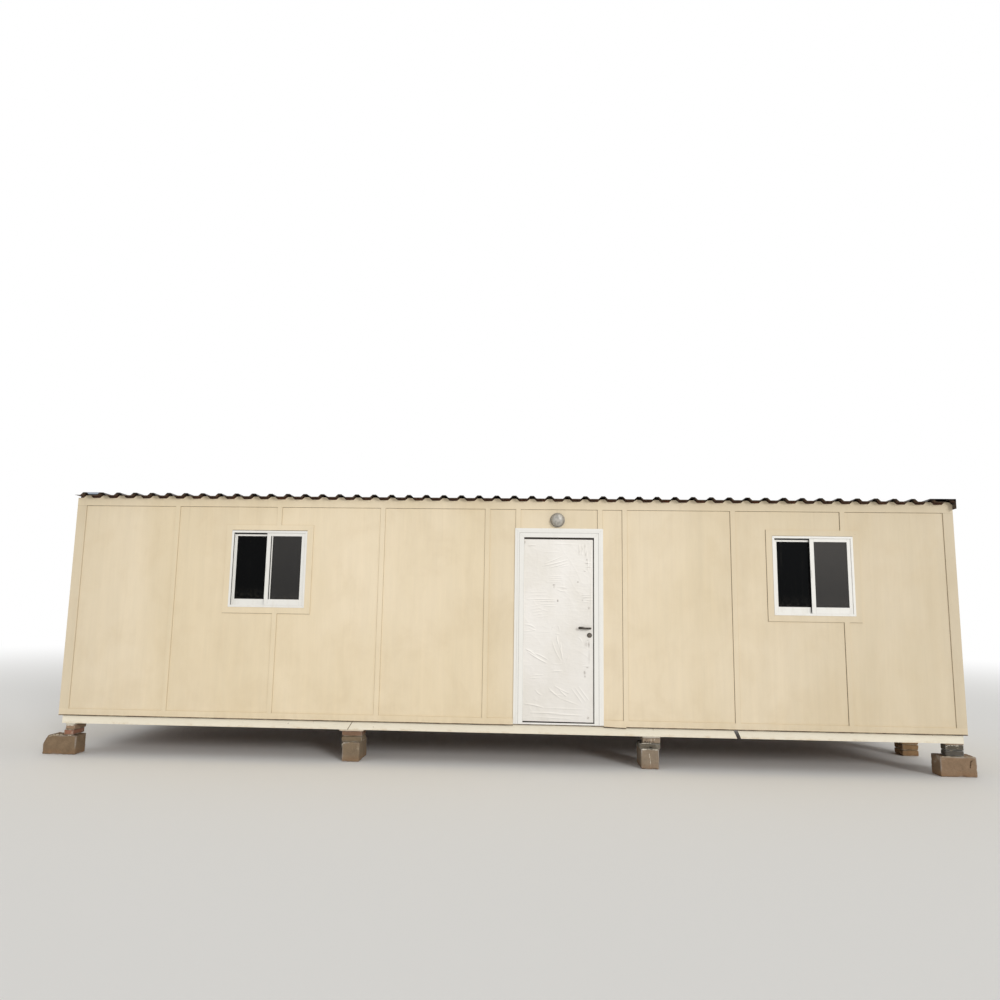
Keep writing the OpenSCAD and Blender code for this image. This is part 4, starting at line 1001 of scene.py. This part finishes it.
# clear film over the door leaf; creases and marks have their spots as thousandths of its width and height
filmSettings = {
    "cell": 0.0043, "lift": 0.0005, "inset": 0.004, "edge": 0.035, "hole": 0.0105, "relief": 1.3,
    "narrow": 0.62, "seed": 7,
    "creases": [
        # x1, z1, x2, z2 in thousandths, bow, height and width in mm;
        # then how many side by side, and the step between them in thousandths
        (288, 851, 546, 893, 5, 2, 6), (265, 838, 631, 875, 5, 2.6, 7), (366, 830, 640, 861, 5, 2.2, 6),
        (499, 833, 656, 844, 0, 1.2, 5), (50, 951, 168, 952, 0, 1.4, 6), (356, 964, 765, 959, 0, 1.2, 6),
        (278, 914, 514, 917, 0, 0.8, 6), (366, 783, 562, 784, 0, 1, 5, 4, -3, -11.5),
        (454, 726, 594, 723, 0, 1.4, 5), (469, 712, 618, 700, 10, 1.5, 6), (50, 655, 470, 655, -4, 1.8, 6),
        (127, 643, 463, 646, 0, 1.4, 5), (205, 631, 463, 631, 0, 1.6, 6), (292, 618, 470, 618, 0, 1.6, 6),
        (105, 616, 252, 625, 0, 1.2, 5, 4, 12, -16), (177, 557, 363, 564, 0, 1, 5),
        (238, 601, 363, 589, 0, 1, 5), (80, 677, 330, 680, 0, 0.8, 5, 2, 0, 17),
        (16, 517, 178, 497, -12, 2, 7), (24, 479, 178, 487, 0, 1.6, 6), (84, 498, 186, 484, 0, 1.4, 5),
        (178, 479, 410, 479, 0, 0.8, 5), (402, 490, 469, 517, -10, 0.9, 6),
        (490, 514, 512, 482, -6, 0.9, 6), (475, 461, 506, 405, 6, 2, 6), (506, 405, 558, 327, -6, 1.7, 6),
        (411, 431, 538, 321, 12, 1.5, 6), (522, 424, 538, 381, 0, 1.5, 5), (457, 469, 515, 467, 0, 1.2, 5),
        (649, 353, 604, 321, 0, 0.8, 6), (38, 386, 197, 346, -4, 2.4, 7), (64, 371, 343, 309, 6, 2.9, 7),
        (165, 363, 359, 326, -6, 2.3, 6), (50, 378, 157, 371, 0, 1.3, 5), (406, 266, 559, 268, -4, 1.8, 7),
        (137, 243, 298, 248, 0, 1.4, 6, 2, -40, -15), (397, 311, 566, 308, 10, 0.8, 6),
        (363, 179, 530, 125, 8, 2.1, 6), (444, 191, 647, 152, 6, 1.8, 6), (509, 172, 620, 133, 4, 2.4, 6),
        (415, 148, 571, 138, 0, 1.4, 5), (369, 165, 448, 152, 0, 1.2, 5), (178, 170, 277, 138, 10, 1.6, 7),
        (522, 126, 705, 99, 0, 1, 6, 2, 80, -10), (675, 180, 829, 100, 0, 1.5, 6, 3, 48, 6),
        (21, 93, 301, 73, -6, 2.8, 8), (293, 73, 856, 69, 0, 1.4, 6), (99, 47, 507, 46, 0, 2.2, 7),
        (370, 42, 835, 36, 0, 2.2, 7), (142, 24, 675, 18, 0, 1.2, 6), (45, 28, 111, 52, 10, 1.2, 6),
        (788, 962, 783, 900, 0, 1.4, 5, 3, 43, -2), (899, 929, 890, 888, 0, 1.2, 5),
        (866, 857, 960, 859, 0, 1.6, 5, 2, 10, -23), (843, 818, 897, 808, 0, 1.2, 5),
        (911, 875, 905, 818, 0, 1.6, 5), (827, 681, 967, 685, 0, 1.5, 5, 3, 8, -14),
        (827, 646, 932, 641, 0, 1.2, 5), (948, 947, 946, 818, 0, 1.4, 5), (949, 800, 946, 533, 0, 1.3, 5),
        (9, 925, 6, 479, 0, 1.3, 5), (8, 449, 6, 29, 0, 1.6, 5), (765, 454, 827, 422, -10, 1.2, 6),
        (827, 297, 931, 302, 0, 1.3, 5),
    ],
    "marks": [
        # x, z in thousandths, half width and half height in mm, strength
        (431, 734, 12, 5, 0.9), (433, 724, 5, 10, 0.6), (485, 648, 6, 11, 0.95), (767, 751, 8, 8, 0.5),
        (16, 969, 8, 14, 0.5), (121, 951, 34, 4, 0.2), (578, 715, 30, 5, 0.25), (920, 413, 6, 26, 0.65),
        (882, 413, 18, 26, 0.2), (903, 437, 10, 6, 0.3), (860, 263, 9, 18, 0.65), (896, 290, 14, 6, 0.4),
        (865, 242, 7, 12, 0.4), (920, 610, 8, 14, 0.4), (866, 952, 5, 18, 0.35), (788, 922, 5, 32, 0.25),
        (875, 904, 6, 18, 0.32), (832, 934, 4, 22, 0.2), (892, 875, 8, 10, 0.42), (890, 856, 16, 6, 0.35),
        (916, 836, 14, 5, 0.3), (861, 812, 12, 5, 0.3), (874, 668, 32, 4, 0.28), (833, 679, 14, 3, 0.3),
        (906, 25, 12, 12, 0.4), (922, 348, 9, 70, 0.14), (361, 643, 80, 5, 0.1), (830, 653, 6, 10, 0.25),
        (629, 151, 16, 8, 0.12),
    ],
}


def makeFilm3d(settings):
    noise.seed_set(settings["seed"])        # without it noise_vector differs from run to run
    low, high = boxOf("door_leaf")
    inset, cell = settings["inset"], settings["cell"]
    x1, x2, z1, z2 = low[0] + inset, high[0] - inset, low[2] + inset, high[2] - inset
    wide, tall = x2 - x1, z2 - z1
    spindle = Vector(spindleSpot())
    columns, rows = round(wide / cell), round(tall / cell)
    creases = []
    for u1, v1, u2, v2, bow, height, width, *more in settings["creases"]:
        copies, stepU, stepV = more or (1, 0, 0)
        run = Vector(((u2 - u1) * wide, (v2 - v1) * tall)) / 1000
        for i in range(copies):
            start = Vector(((u1 + i * stepU) * wide, (v1 + i * stepV) * tall)) / 1000
            sizes = (bow / 1000, height / 1000, width / 1000 * settings["narrow"])
            creases.append((start, run, run.length, *sizes))

    def heightAt(x, z):
        total = 0.0
        for start, run, length, bow, height, width in creases:
            offX, offZ = x - start[0], z - start[1]
            share = (offX * run[0] + offZ * run[1]) / length ** 2
            if -0.1 < share < 1.1:
                off = (offX * run[1] - offZ * run[0]) / length - bow * math.sin(math.pi * share)
                if abs(off) < 4 * width:
                    taper = max(0.0, math.sin(math.pi * min(1, max(0, share)))) ** 0.6
                    total += height * taper * math.exp(-abs(off / width) ** 1.3)
        spot = Vector((x * 5.5, z * 4.5, 3.0))
        loose = 0.5 + 0.5 * noise.noise(Vector((x * 1.4, z * 1.1, 8.0)))
        ridge = 1 - abs(noise.noise(spot + noise.noise_vector(spot * 0.6) * 0.5)) * 2.4
        total += max(0.0, ridge) ** 4 * 0.0007 * loose
        small = 1 - abs(noise.noise(Vector((x * 8 + 2 * z, z * 23, 5.0)))) * 2.6
        total += max(0.0, small) ** 3 * 0.0005 * loose
        total += (0.5 + 0.5 * noise.noise(Vector((x * 3, z * 2.2, 1.0)))) * 0.0009
        return total

    bm = bmesh.new()
    grime = bm.verts.layers.float.new("grime")
    creaseShade = bm.verts.layers.float.new("creaseShade")
    heights = [[heightAt(wide * i / columns, tall * j / rows) for j in range(rows + 1)]
               for i in range(columns + 1)]
    grid = []
    for i in range(columns + 1):
        line = []
        for j in range(rows + 1):
            x, z = wide * i / columns, tall * j / rows
            rim = max(0.0, min(x, wide - x, z, tall - z))
            ease = min(1.0, rim / settings["edge"])
            out = settings["lift"] + min(0.0036, heights[i][j]) * ease ** 1.5
            spot = Vector((x1 + x, z1 + z))
            away = spot - spindle
            # a round edge at the lever
            if settings["hole"] < away.length < settings["hole"] + 0.65 * cell:
                spot = spindle + away.normalized() * settings["hole"]
            vertex = bm.verts.new((spot[0], low[1] - out, spot[1]))
            # painted shade and highlight on the creases, as if light falls from the right and above
            lit = heights[max(0, i - 1)][max(0, j - 1)] - heights[min(columns, i + 1)][min(rows, j + 1)]
            vertex[creaseShade] = 0.5 + max(-0.5, min(0.5, lit / cell * settings["relief"]))
            total = 0.0
            for u, v, halfX, halfZ, strength in settings["marks"]:
                away = ((x * 1000 - u * wide) / halfX) ** 2 + ((z * 1000 - v * tall) / halfZ) ** 2
                if away < 6:
                    total += 1.4 * strength * math.exp(-away)
            vertex[grime] = min(1.0, total)
            line.append(vertex)
        grid.append(line)
    for i in range(columns):
        for j in range(rows):
            ring = (grid[i][j], grid[i + 1][j], grid[i + 1][j + 1], grid[i][j + 1])
            if all((Vector((v.co[0], v.co[2])) - spindle).length > settings["hole"] - 0.0001 for v in ring):
                bm.faces.new(ring)
    bmesh.ops.delete(bm, geom=[v for v in bm.verts if not v.link_faces], context="VERTS")
    addPiece("doorFilm", bm, "film", body="door", smooth=True)


makeFilm3d(filmSettings)

# soft seal between the frame and the leaf, as wide as it shows on each side; its wide dark strips at the top
# and right are the painted shadow of the frame on the leaf
sealSettings = {
    "left": 0.002, "right": 0.0105, "top": 0.022, "bottom": (0.008, 0.005), "thick": 0.0022, "face": 0.104,
    "lap": 0.008, "sillDrop": 0.007,
    "grooves": ((0.03, 0.002, "faintGroove"), (0.05, 0.004, "deepGroove")),
}


def makeSeal(settings):
    low, high = boxOf("door_frame")
    leafLow = boxOf("door_leaf")[0]
    x1, x2 = low[0] + settings["face"], high[0] - settings["face"]
    top = high[2] - settings["face"]
    y2 = leafLow[1] - 0.0016
    y1 = y2 - settings["thick"]
    bm = bmesh.new()
    lap, drop = settings["lap"], settings["sillDrop"]
    addBox(bm, (x2 - settings["right"], y1, leafLow[2]), (x2 + lap, y2, top + lap), 0.0005)
    addBox(bm, (x1 - lap, y1, top - settings["top"]), (x2 + lap, y2, top + lap), 0.0005)
    made = addBox(bm, (x1 - lap, y1, leafLow[2] - drop), (x2, y2, leafLow[2] + settings["bottom"][0]))
    for vertex in made:     # its upper edge falls towards the right
        if vertex.co[0] > x1 and vertex.co[2] > leafLow[2]:
            vertex.co[2] = leafLow[2] + settings["bottom"][1]
    addPiece("doorSealAndShadow", bm, "sealAndShadow")
    bm = bmesh.new()
    addBox(bm, (x1 - lap, y1, leafLow[2] + 0.006), (x1 + settings["left"], y2, top - 0.01), 0.0005)
    addPiece("doorSealLeft", bm, "groove")
    # two thin grooves run round the face of the frame
    for number, (inset, wide, paintName) in enumerate(settings["grooves"]):
        lines = bmesh.new()
        xa, xb, za, zb = low[0] + inset, high[0] - inset, low[2] + 0.004, high[2] - inset
        y = low[1] + 0.001
        addBox(lines, (xa, y, za), (xa + wide, y + 0.004, zb))
        addBox(lines, (xb - wide, y, za), (xb, y + 0.004, zb))
        addBox(lines, (xa + wide, y, zb - wide), (xb - wide, y + 0.004, zb))
        addPiece(f"frameGroove_{number + 1}", lines, paintName)
    joints = bmesh.new()
    addMitres(joints, low, high, settings["face"], ((0, 1), (1, 1)))
    addPiece("doorFrameJoints", joints, "groove")


makeSeal(sealSettings)

# flat lever with round ends on both sides, and what shows of the lock
leverSettings = {
    "half": 0.015, "thick": 0.016, "tipThick": 0.012, "power": 2.6, "neck": 0.0085, "spindle": 0.004,
    "turns": 28, "stations": 26,
}


def makeLever(settings):
    low, high = boxOf("door_lever")
    leaf = boxOf("door_leaf")
    spindleX, middleZ = spindleSpot()
    half, turns, stations = settings["half"], settings["turns"], settings["stations"]
    power = 2 / settings["power"]
    bm = bmesh.new()
    for out, outer, leafY in ((-1, low[1], leaf[0][1]), (1, high[1], leaf[1][1])):
        rings = []
        for s in range(stations + 1):
            share = 0.5 - 0.5 * math.cos(math.pi * s / stations)        # closer together at the ends
            x = high[0] + (low[0] - high[0]) * share
            reach = min(x - low[0], high[0] - x)
            tall = math.sqrt(max(0.0, half * half - max(0.0, half - reach) ** 2))
            thick = settings["thick"] + (settings["tipThick"] - settings["thick"]) * share
            thick *= min(1.0, 0.35 + 0.65 * tall / half)
            rings.append([])
            for i in range(turns):
                c, d = math.cos(math.tau * i / turns), math.sin(math.tau * i / turns)
                y = math.copysign(abs(c) ** power, c) * thick / 2
                z = math.copysign(abs(d) ** power, d) * max(tall, 0.0004)
                spot = (x, outer - out * (settings["thick"] / 2) + y, middleZ + z)
                rings[-1].append(bm.verts.new(spot))
        addTube(bm, rings)
        reach = abs(outer - leafY) - 0.006
        r = settings["neck"]
        profile = [(r * 0.94, -0.001), (r * 0.94, reach * 0.6), (r * 1.1, reach * 0.85), (r * 1.15, reach)]
        addLathe(bm, profile, 24, Vector((spindleX, leafY, middleZ)), (alongX, alongZ, alongY * out))
    edge = settings["spindle"]
    addBox(bm, (spindleX - edge, leaf[0][1], middleZ - edge), (spindleX + edge, leaf[1][1], middleZ + edge))
    addPiece("leverHandle", bm, "lever", body="lever", stands=["door_lever"], smooth=True)


makeLever(leverSettings)

lockSettings = {
    "drop": 0.08, "ring": 0.0272, "core": 0.0088,
    "slot": {"half": 0.0009, "up": 0.0035, "down": 0.0055},
}


def makeLock(settings):
    x, z = spindleSpot()
    z -= settings["drop"]
    ring, core, slot = settings["ring"], settings["core"], settings["slot"]
    # heights are from the end of the cylinder, 3 mm in front of the rose
    profile = [(ring, -0.0098), (ring, -0.0042), (ring - 0.0016, -0.0026), (ring - 0.007, -0.0022),
               (ring - 0.0105, -0.003), (core + 0.0016, -0.0031)]
    rims, slots = bmesh.new(), bmesh.new()
    roses = boxOf("door_roses")
    for out, face in ((-1, roses[0][1]), (1, roses[1][1])):
        addLathe(rims, profile, 48, Vector((x, face, z)), (alongX, alongZ, alongY * out))
        y1, y2 = sorted((face, face + out * 0.0004))
        low, high = (x - slot["half"], y1, z - slot["down"]), (x + slot["half"], y2, z + slot["up"])
        addBox(slots, low, high, 0.0001)
    addPiece("lockRings", rims, "rose", body="door", smooth=True)
    addPiece("keySlots", slots, "rubber", body="door")


makeLock(lockSettings)
print("door is fitted out")

# round lamp with a fluted glass and a rim
lampSettings = {"flutes": 36, "depth": 0.0007, "rim": 0.0045, "turns": 144, "rows": 22, "dome": 0.72}


def makeLamp(settings):
    low, high = boxOf("lamp_dome")
    middle = (low + high) / 2
    r = (high[0] - low[0]) / 2
    radius, deep = r - settings["rim"], high[1] - low[1]
    turns, rows = settings["turns"], settings["rows"]
    bm = bmesh.new()
    rings = []
    for row in range(rows):
        share = row / rows
        reach = radius * math.cos(share * math.pi / 2) ** settings["dome"]
        y = high[1] - deep * math.sin(share * math.pi / 2)
        fluted = settings["depth"] * min(1, share * 8) * (1 - share ** 3)
        rings.append([])
        for i in range(turns):
            angle = math.tau * i / turns
            out = reach + fluted * math.cos(angle * settings["flutes"])
            spot = (middle[0] + out * math.cos(angle), y, middle[2] + out * math.sin(angle))
            rings[-1].append(bm.verts.new(spot))
    addTube(bm, rings, foot=False)
    addPiece("lampGlass", bm, "lampGlass", stands=["lamp_dome"], smooth=True)
    rim = bmesh.new()
    profile = [(r - 0.001, 0.0), (r, 0.004), (r - 0.0005, 0.009), (r - 0.0035, 0.013), (r - 0.0075, 0.0135)]
    addLathe(rim, profile, 72, Vector((middle[0], high[1], middle[2])), (alongX, alongZ, -alongY))
    addPiece("lampRim", rim, "lampBody", smooth=True)


makeLamp(lampSettings)
print("lamp is on")

# blocks, bricks, mortar and plates of the piers, worn and rough
pierSettings = {
    # size of a cell, rounding, bite of the grain and size of the chips
    "block": (0.0095, 0.01, 0.0055, 0.026), "brick": (0.0085, 0.006, 0.004, 0.016),
    "mortar": (0.01, 0.003, 0.004, 0.004), "plate": (0.008, 0.002, 0.002, 0.004),
    "seeds": {"lower": 20, "upper": 60, "mortar": 60, "plate": 90},
    "bed": 0.006, "bedInset": 0.003, "plateOut": 0.004,
    "broken": {"in": 0.012, "down": 0.085, "facing": (-0.86, 0, 0.51)},     # corner of the first block
    "limits": (-4, 0, 3.5), "sideFrom": 4.7, "sideDepth": (-0.6, 0.2),      # where the piers part
    "blocks": [rgb(127, 107, 84), rgb(130, 113, 92), rgb(141, 126, 108), rgb(138, 115, 92)],
    "lower": [rgb(146, 104, 84), rgb(121, 105, 84), rgb(98, 91, 79), rgb(86, 81, 74)],
    "upper": [rgb(150, 125, 102), rgb(125, 98, 79), rgb(148, 131, 112), rgb(94, 88, 78)],
    "side": rgb(140, 112, 80),
    "beds": [rgb(160, 142, 120), rgb(140, 126, 104), rgb(138, 130, 114), rgb(92, 88, 78),
             rgb(176, 152, 118)],
    "plates": [rgb(206, 198, 180), rgb(222, 206, 182), rgb(196, 186, 170), rgb(150, 128, 104),
               rgb(150, 130, 100)],
    # ragged mortar and stains on the fronts: tone, half width, and the spots that each one joins, in mm
    "blockTop": 214, "blockFront": -1.4688, "brickFront": -1.4738, "proud": ("drip", "lime", "stain"),
    "tones": {"mortar": rgb(216, 208, 192), "chalk": rgb(176, 162, 140), "slot": rgb(34, 29, 25),
              "drip": rgb(84, 64, 48), "lime": rgb(238, 230, 212), "stain": rgb(80, 67, 55)},
    "smears": [
        ("chalk", 8.5, (-5125, 192), (-5090, 209), (-5020, 212.5), (-4950, 212)),
        ("mortar", 4, (-4905, 212), (-4862, 212)),
        ("mortar", 4.5, (-1733, 150), (-1731, 185), (-1716, 203), (-1692, 198)),
        ("chalk", 3.5, (-1672, 210), (-1640, 208)),
        ("mortar", 6, (1606, 211), (1650, 209.5), (1720, 211.5), (1790, 210.5)),
        ("mortar", 9, (1600, 208), (1632, 209)),
        ("mortar", 3.4, (1687, 172), (1693, 130), (1701, 91), (1702, 14)),
        ("mortar", 3.5, (1600, 276), (1711, 278)), ("chalk", 2.2, (1600, 252), (1655, 253)),
        ("slot", 6.2, (1660, 236.5), (1722, 235)), ("mortar", 4, (1708, 331), (1710, 296)),
        ("mortar", 5, (1748, 333), (1746, 308)), ("chalk", 4, (1628, 330), (1625, 300)),
        ("lime", 9, (4866, 314), (4890, 326), (4915, 328)), ("mortar", 6, (4925, 330), (5010, 327)),
        ("chalk", 4, (4872, 298), (4884, 305)), ("chalk", 3, (4905, 276), (4945, 277)),
        ("chalk", 3.5, (4980, 303), (5008, 306)), ("chalk", 3.5, (4810, 211), (5175, 212)),
        ("drip", 10.5, (5146, 182), (5128, 170), (5118, 142), (5117, 98)),
        ("drip", 9.5, (5140, 174), (5124, 158), (5121, 120)),
        ("mortar", 8, (-4930, 326.5), (-4880, 329), (-4836, 325.5)),
        ("chalk", 5, (-4938, 279), (-4895, 276), (-4850, 277)), ("chalk", 5.5, (-4940, 266), (-4938, 233)),
        ("stain", 10, (1630, 293), (1700, 290.5)), ("stain", 7, (1720, 294), (1748, 291)),
        ("stain", 6, (1640, 314), (1668, 312)),
    ],
}


def pierOf(low, settings):
    # which pier a piece belongs to, from the left; 4 is the one under the right end
    near, far = settings["sideDepth"]
    if low[0] > settings["sideFrom"] and near < low[1] < far:
        return 4
    return sum(low[0] >= limit for limit in settings["limits"])


# noise per metre for grain, breaks and wear, and from where on a break or wear shows
roughSettings = {
    "grain": 34, "breaks": 17, "breakFrom": 0.22, "flatBreaks": 0.12,
    "wear": 12, "wearFrom": -0.25, "pale": 0.62, "mostPale": 0.35,
}


def addRough(bm, low, high, wear, tone, seed, cutOff=None):
    # a worn box from small cells; cutOff is a spot and a direction past which it is broken off
    cell, rounding, bite, chip = wear
    settings = roughSettings
    layer = bm.verts.layers.float_color.get("tone") or bm.verts.layers.float_color.new("tone")
    size, middle, half = high - low, (high + low) / 2, (high - low) / 2
    count = [max(2, round(s / cell)) for s in size]
    shift = Vector((seed * 3.7, seed * 1.3, seed * 7.1))
    corners = {}

    def shape(at):
        local = at - middle
        core = Vector(max(rounding - h, min(h - rounding, c)) for c, h in zip(local, half))
        off = local - core
        sharp = sum(abs(c) > 1e-6 for c in off)
        normal = off.normalized()
        grain = 0.5 + 0.5 * noise.fractal((at + shift) * settings["grain"], 0.9, 2.1, 3)
        broken = max(0.0, noise.noise((at + shift) * settings["breaks"]) - settings["breakFrom"])
        broken *= 1.0 if sharp > 1 else settings["flatBreaks"]
        place = middle + core + normal * (rounding - bite * grain - chip * broken)
        if cutOff:
            point, facing = cutOff
            past = (place - point).dot(facing)
            if past > 0:
                place = place - facing * past * (0.9 + 0.2 * grain)
        place[2] = max(place[2], low[2])
        worn = max(0.0, (sharp - 1) * (noise.noise((at + shift) * settings["wear"]) - settings["wearFrom"]))
        return place, worn

    def corner(spot):
        if spot not in corners:
            at = Vector(l + s * n / c for l, s, n, c in zip(low, size, spot, count))
            place, worn = shape(at)
            vertex = bm.verts.new(place)
            share = min(settings["mostPale"], worn * 0.45)
            vertex[layer] = tuple(c + (settings["pale"] - c) * share for c in tone[:3]) + (1,)
            corners[spot] = vertex
        return corners[spot]

    for axis in range(3):
        u, v = (axis + 1) % 3, (axis + 2) % 3
        for end in (0, count[axis]):
            for i in range(count[u]):
                for j in range(count[v]):
                    ring = []
                    for a, b in ((i, j), (i + 1, j), (i + 1, j + 1), (i, j + 1)):
                        spot = [end] * 3
                        spot[u], spot[v] = a, b
                        ring.append(corner(tuple(spot)))
                    bm.faces.new(ring if end else ring[::-1])


def addSmear(bm, tone, half, path, seed):
    # a low ridge of uneven width along a path, on a face towards -Y
    layer = bm.verts.layers.float_color.get("tone")
    last = None
    for start, end in zip(path, path[1:]):
        steps = max(2, round((end - start).length / 0.005))
        side = Vector((start[2] - end[2], 0, end[0] - start[0])).normalized()
        for i in range(steps + 1):
            if last and not i:
                continue
            at = start.lerp(end, i / steps)
            edge = min(1.0, 0.25 + (at - path[0]).length / 0.02, 0.25 + (at - path[-1]).length / 0.02)
            lump = noise.noise(Vector((at[0] * 60 + seed * 3.1, at[2] * 60, 0.7)))
            wide = half * edge * max(0.18, 0.85 + 1.6 * lump)
            at += side * half * 0.7 * noise.noise(Vector((at[0] * 45, at[2] * 45, seed * 1.9)))
            ring = [bm.verts.new(at + side * (wide * share) + alongY * back)
                    for share, back in ((-1, 0.008), (-0.6, 0), (0.6, -0.0005), (1, 0.008))]
            for vertex in ring:
                vertex[layer] = tone
            if last:
                for j in range(4):
                    bm.faces.new((last[j], ring[j], ring[(j + 1) % 4], last[(j + 1) % 4]))
            else:
                bm.faces.new(ring[::-1])
            last = ring
    bm.faces.new(last)


def makePiers(settings):
    blocks, bricks, mortar = bmesh.new(), bmesh.new(), bmesh.new()
    seeds, bed, inset = settings["seeds"], settings["bed"], settings["bedInset"]
    for seed, (low, high) in enumerate(solidsOf("pier_blocks")):
        pier = pierOf(low, settings)
        cutOff = None
        if pier == 0 and low[1] < 0:
            broken = settings["broken"]
            spot = Vector((low[0] + broken["in"], 0, high[2] - broken["down"]))
            cutOff = (spot, Vector(broken["facing"]).normalized())
        addRough(blocks, low, high, settings["block"], settings["blocks"][pier], seed, cutOff)
    for course in ("lower", "upper"):
        for seed, (low, high) in enumerate(solidsOf(f"pier_bricks_{course}")):
            pier = pierOf(low, settings)
            tone = settings["side"] if pier == 4 else settings[course][pier]
            shade = 1 + 0.1 * noise.noise(Vector((seed * 1.7, low[2] * 9, 0.4)))
            tone = tuple(c * shade for c in tone[:3]) + (1,)
            addRough(bricks, low + alongZ * bed, high, settings["brick"], tone, seed + seeds[course])
            bedLow = low + Vector((inset, inset, 0))
            bedHigh = Vector((high[0] - inset, high[1] - inset, low[2] + bed + inset))
            tone = settings["beds"][pier]
            addRough(mortar, bedLow, bedHigh, settings["mortar"], tone, seed + seeds["mortar"])
    for seed, (low, high) in enumerate(solidsOf("pier_shims")):
        front = alongY * (settings["plateOut"] if low[1] < 0 else 0)
        tone = settings["plates"][pierOf(low, settings)]
        addRough(mortar, low - front, high, settings["plate"], tone, seed + seeds["plate"])
    for seed, (toneName, half, *spots) in enumerate(settings["smears"]):
        front = settings["blockFront"] if spots[0][1] < settings["blockTop"] else settings["brickFront"]
        front -= 0.0014 if toneName in settings["proud"] else 0.0
        path = [Vector((x / 1000, front, z / 1000)) for x, z in spots]
        addSmear(mortar, settings["tones"][toneName], half / 1000, path, seed)
    addPiece("pierBlocks", blocks, "concrete", stands=["pier_blocks"], smooth=True)
    stands = ["pier_bricks_lower", "pier_bricks_upper"]
    addPiece("pierBricks", bricks, "brick", stands=stands, smooth=True)
    addPiece("pierMortar", mortar, "mortar", stands=["pier_shims"], smooth=True)


makePiers(pierSettings)
print("piers are laid")

# pale floor that fades into the white round it, and soft light
studioSettings = {
    "floor": rgb(232, 231, 228), "half": 90.0, "fadeFrom": 9.0, "fadeTo": 26.0,
    "fill": 0.68,
    "keyStrength": 1.25, "keyHeight": 19.0, "keySide": 33.0, "keySoft": 16.0,
}


def makeStudio(settings):
    half = settings["half"]
    mesh = bpy.data.meshes.new("floor")
    corners = [(-half, -half, 0), (half, -half, 0), (half, half, 0), (-half, half, 0)]
    mesh.from_pydata(corners, [], [(0, 1, 2, 3)])
    floor = bpy.data.objects.new("floor", mesh)
    scene.collection.objects.link(floor)
    paint = Paint("floorPaint", settings, None, 0.1, {"Base Color": settings["floor"], "Roughness": 0.9})
    away = paint.add("VectorMath", {"operation": "LENGTH"}, {0: paint.spots}, "Value")
    white = paint.add("Emission", {}, {"Color": (1, 1, 1, 1), "Strength": 1.0})
    seen = paint.add("LightPath", {}, {}, "Is Camera Ray")
    mask = away.rise(settings["fadeFrom"], settings["fadeTo"]) * seen
    base = Value(paint, paint.shader.outputs[0])
    both = paint.add("MixShader", {}, {0: mask, 1: base, 2: white})
    paint.tree.links.new(both.socket, paint.tree.nodes["Material Output"].inputs["Surface"])
    mesh.materials.append(paint.material)

    world = bpy.data.worlds.new("studio")
    scene.world = world
    world.use_nodes = True
    tree = world.node_tree
    back = tree.nodes["Background"]
    back.inputs["Color"].default_value = (1, 1, 1, 1)
    path = tree.nodes.new("ShaderNodeLightPath")
    links = tree.links
    last = path.outputs["Is Camera Ray"]
    for name in ("Is Glossy Ray", "Is Transmission Ray"):
        either = tree.nodes.new("ShaderNodeMath")
        either.operation = "MAXIMUM"
        links.new(last, either.inputs[0])
        links.new(path.outputs[name], either.inputs[1])
        last = either.outputs[0]
    level = tree.nodes.new("ShaderNodeMapRange")
    level.inputs["To Min"].default_value = settings["fill"]
    level.inputs["To Max"].default_value = 1.0
    links.new(last, level.inputs["Value"])
    links.new(level.outputs[0], back.inputs["Strength"])

    key = bpy.data.lights.new("key", "SUN")
    key.energy = settings["keyStrength"]
    key.angle = math.radians(settings["keySoft"])
    lamp = bpy.data.objects.new("key", key)
    lamp.rotation_euler = (math.radians(90 - settings["keyHeight"]), 0, math.radians(settings["keySide"]))
    scene.collection.objects.link(lamp)
    scene.view_settings.view_transform = "Standard"


makeStudio(studioSettings)
print("studio is lit")
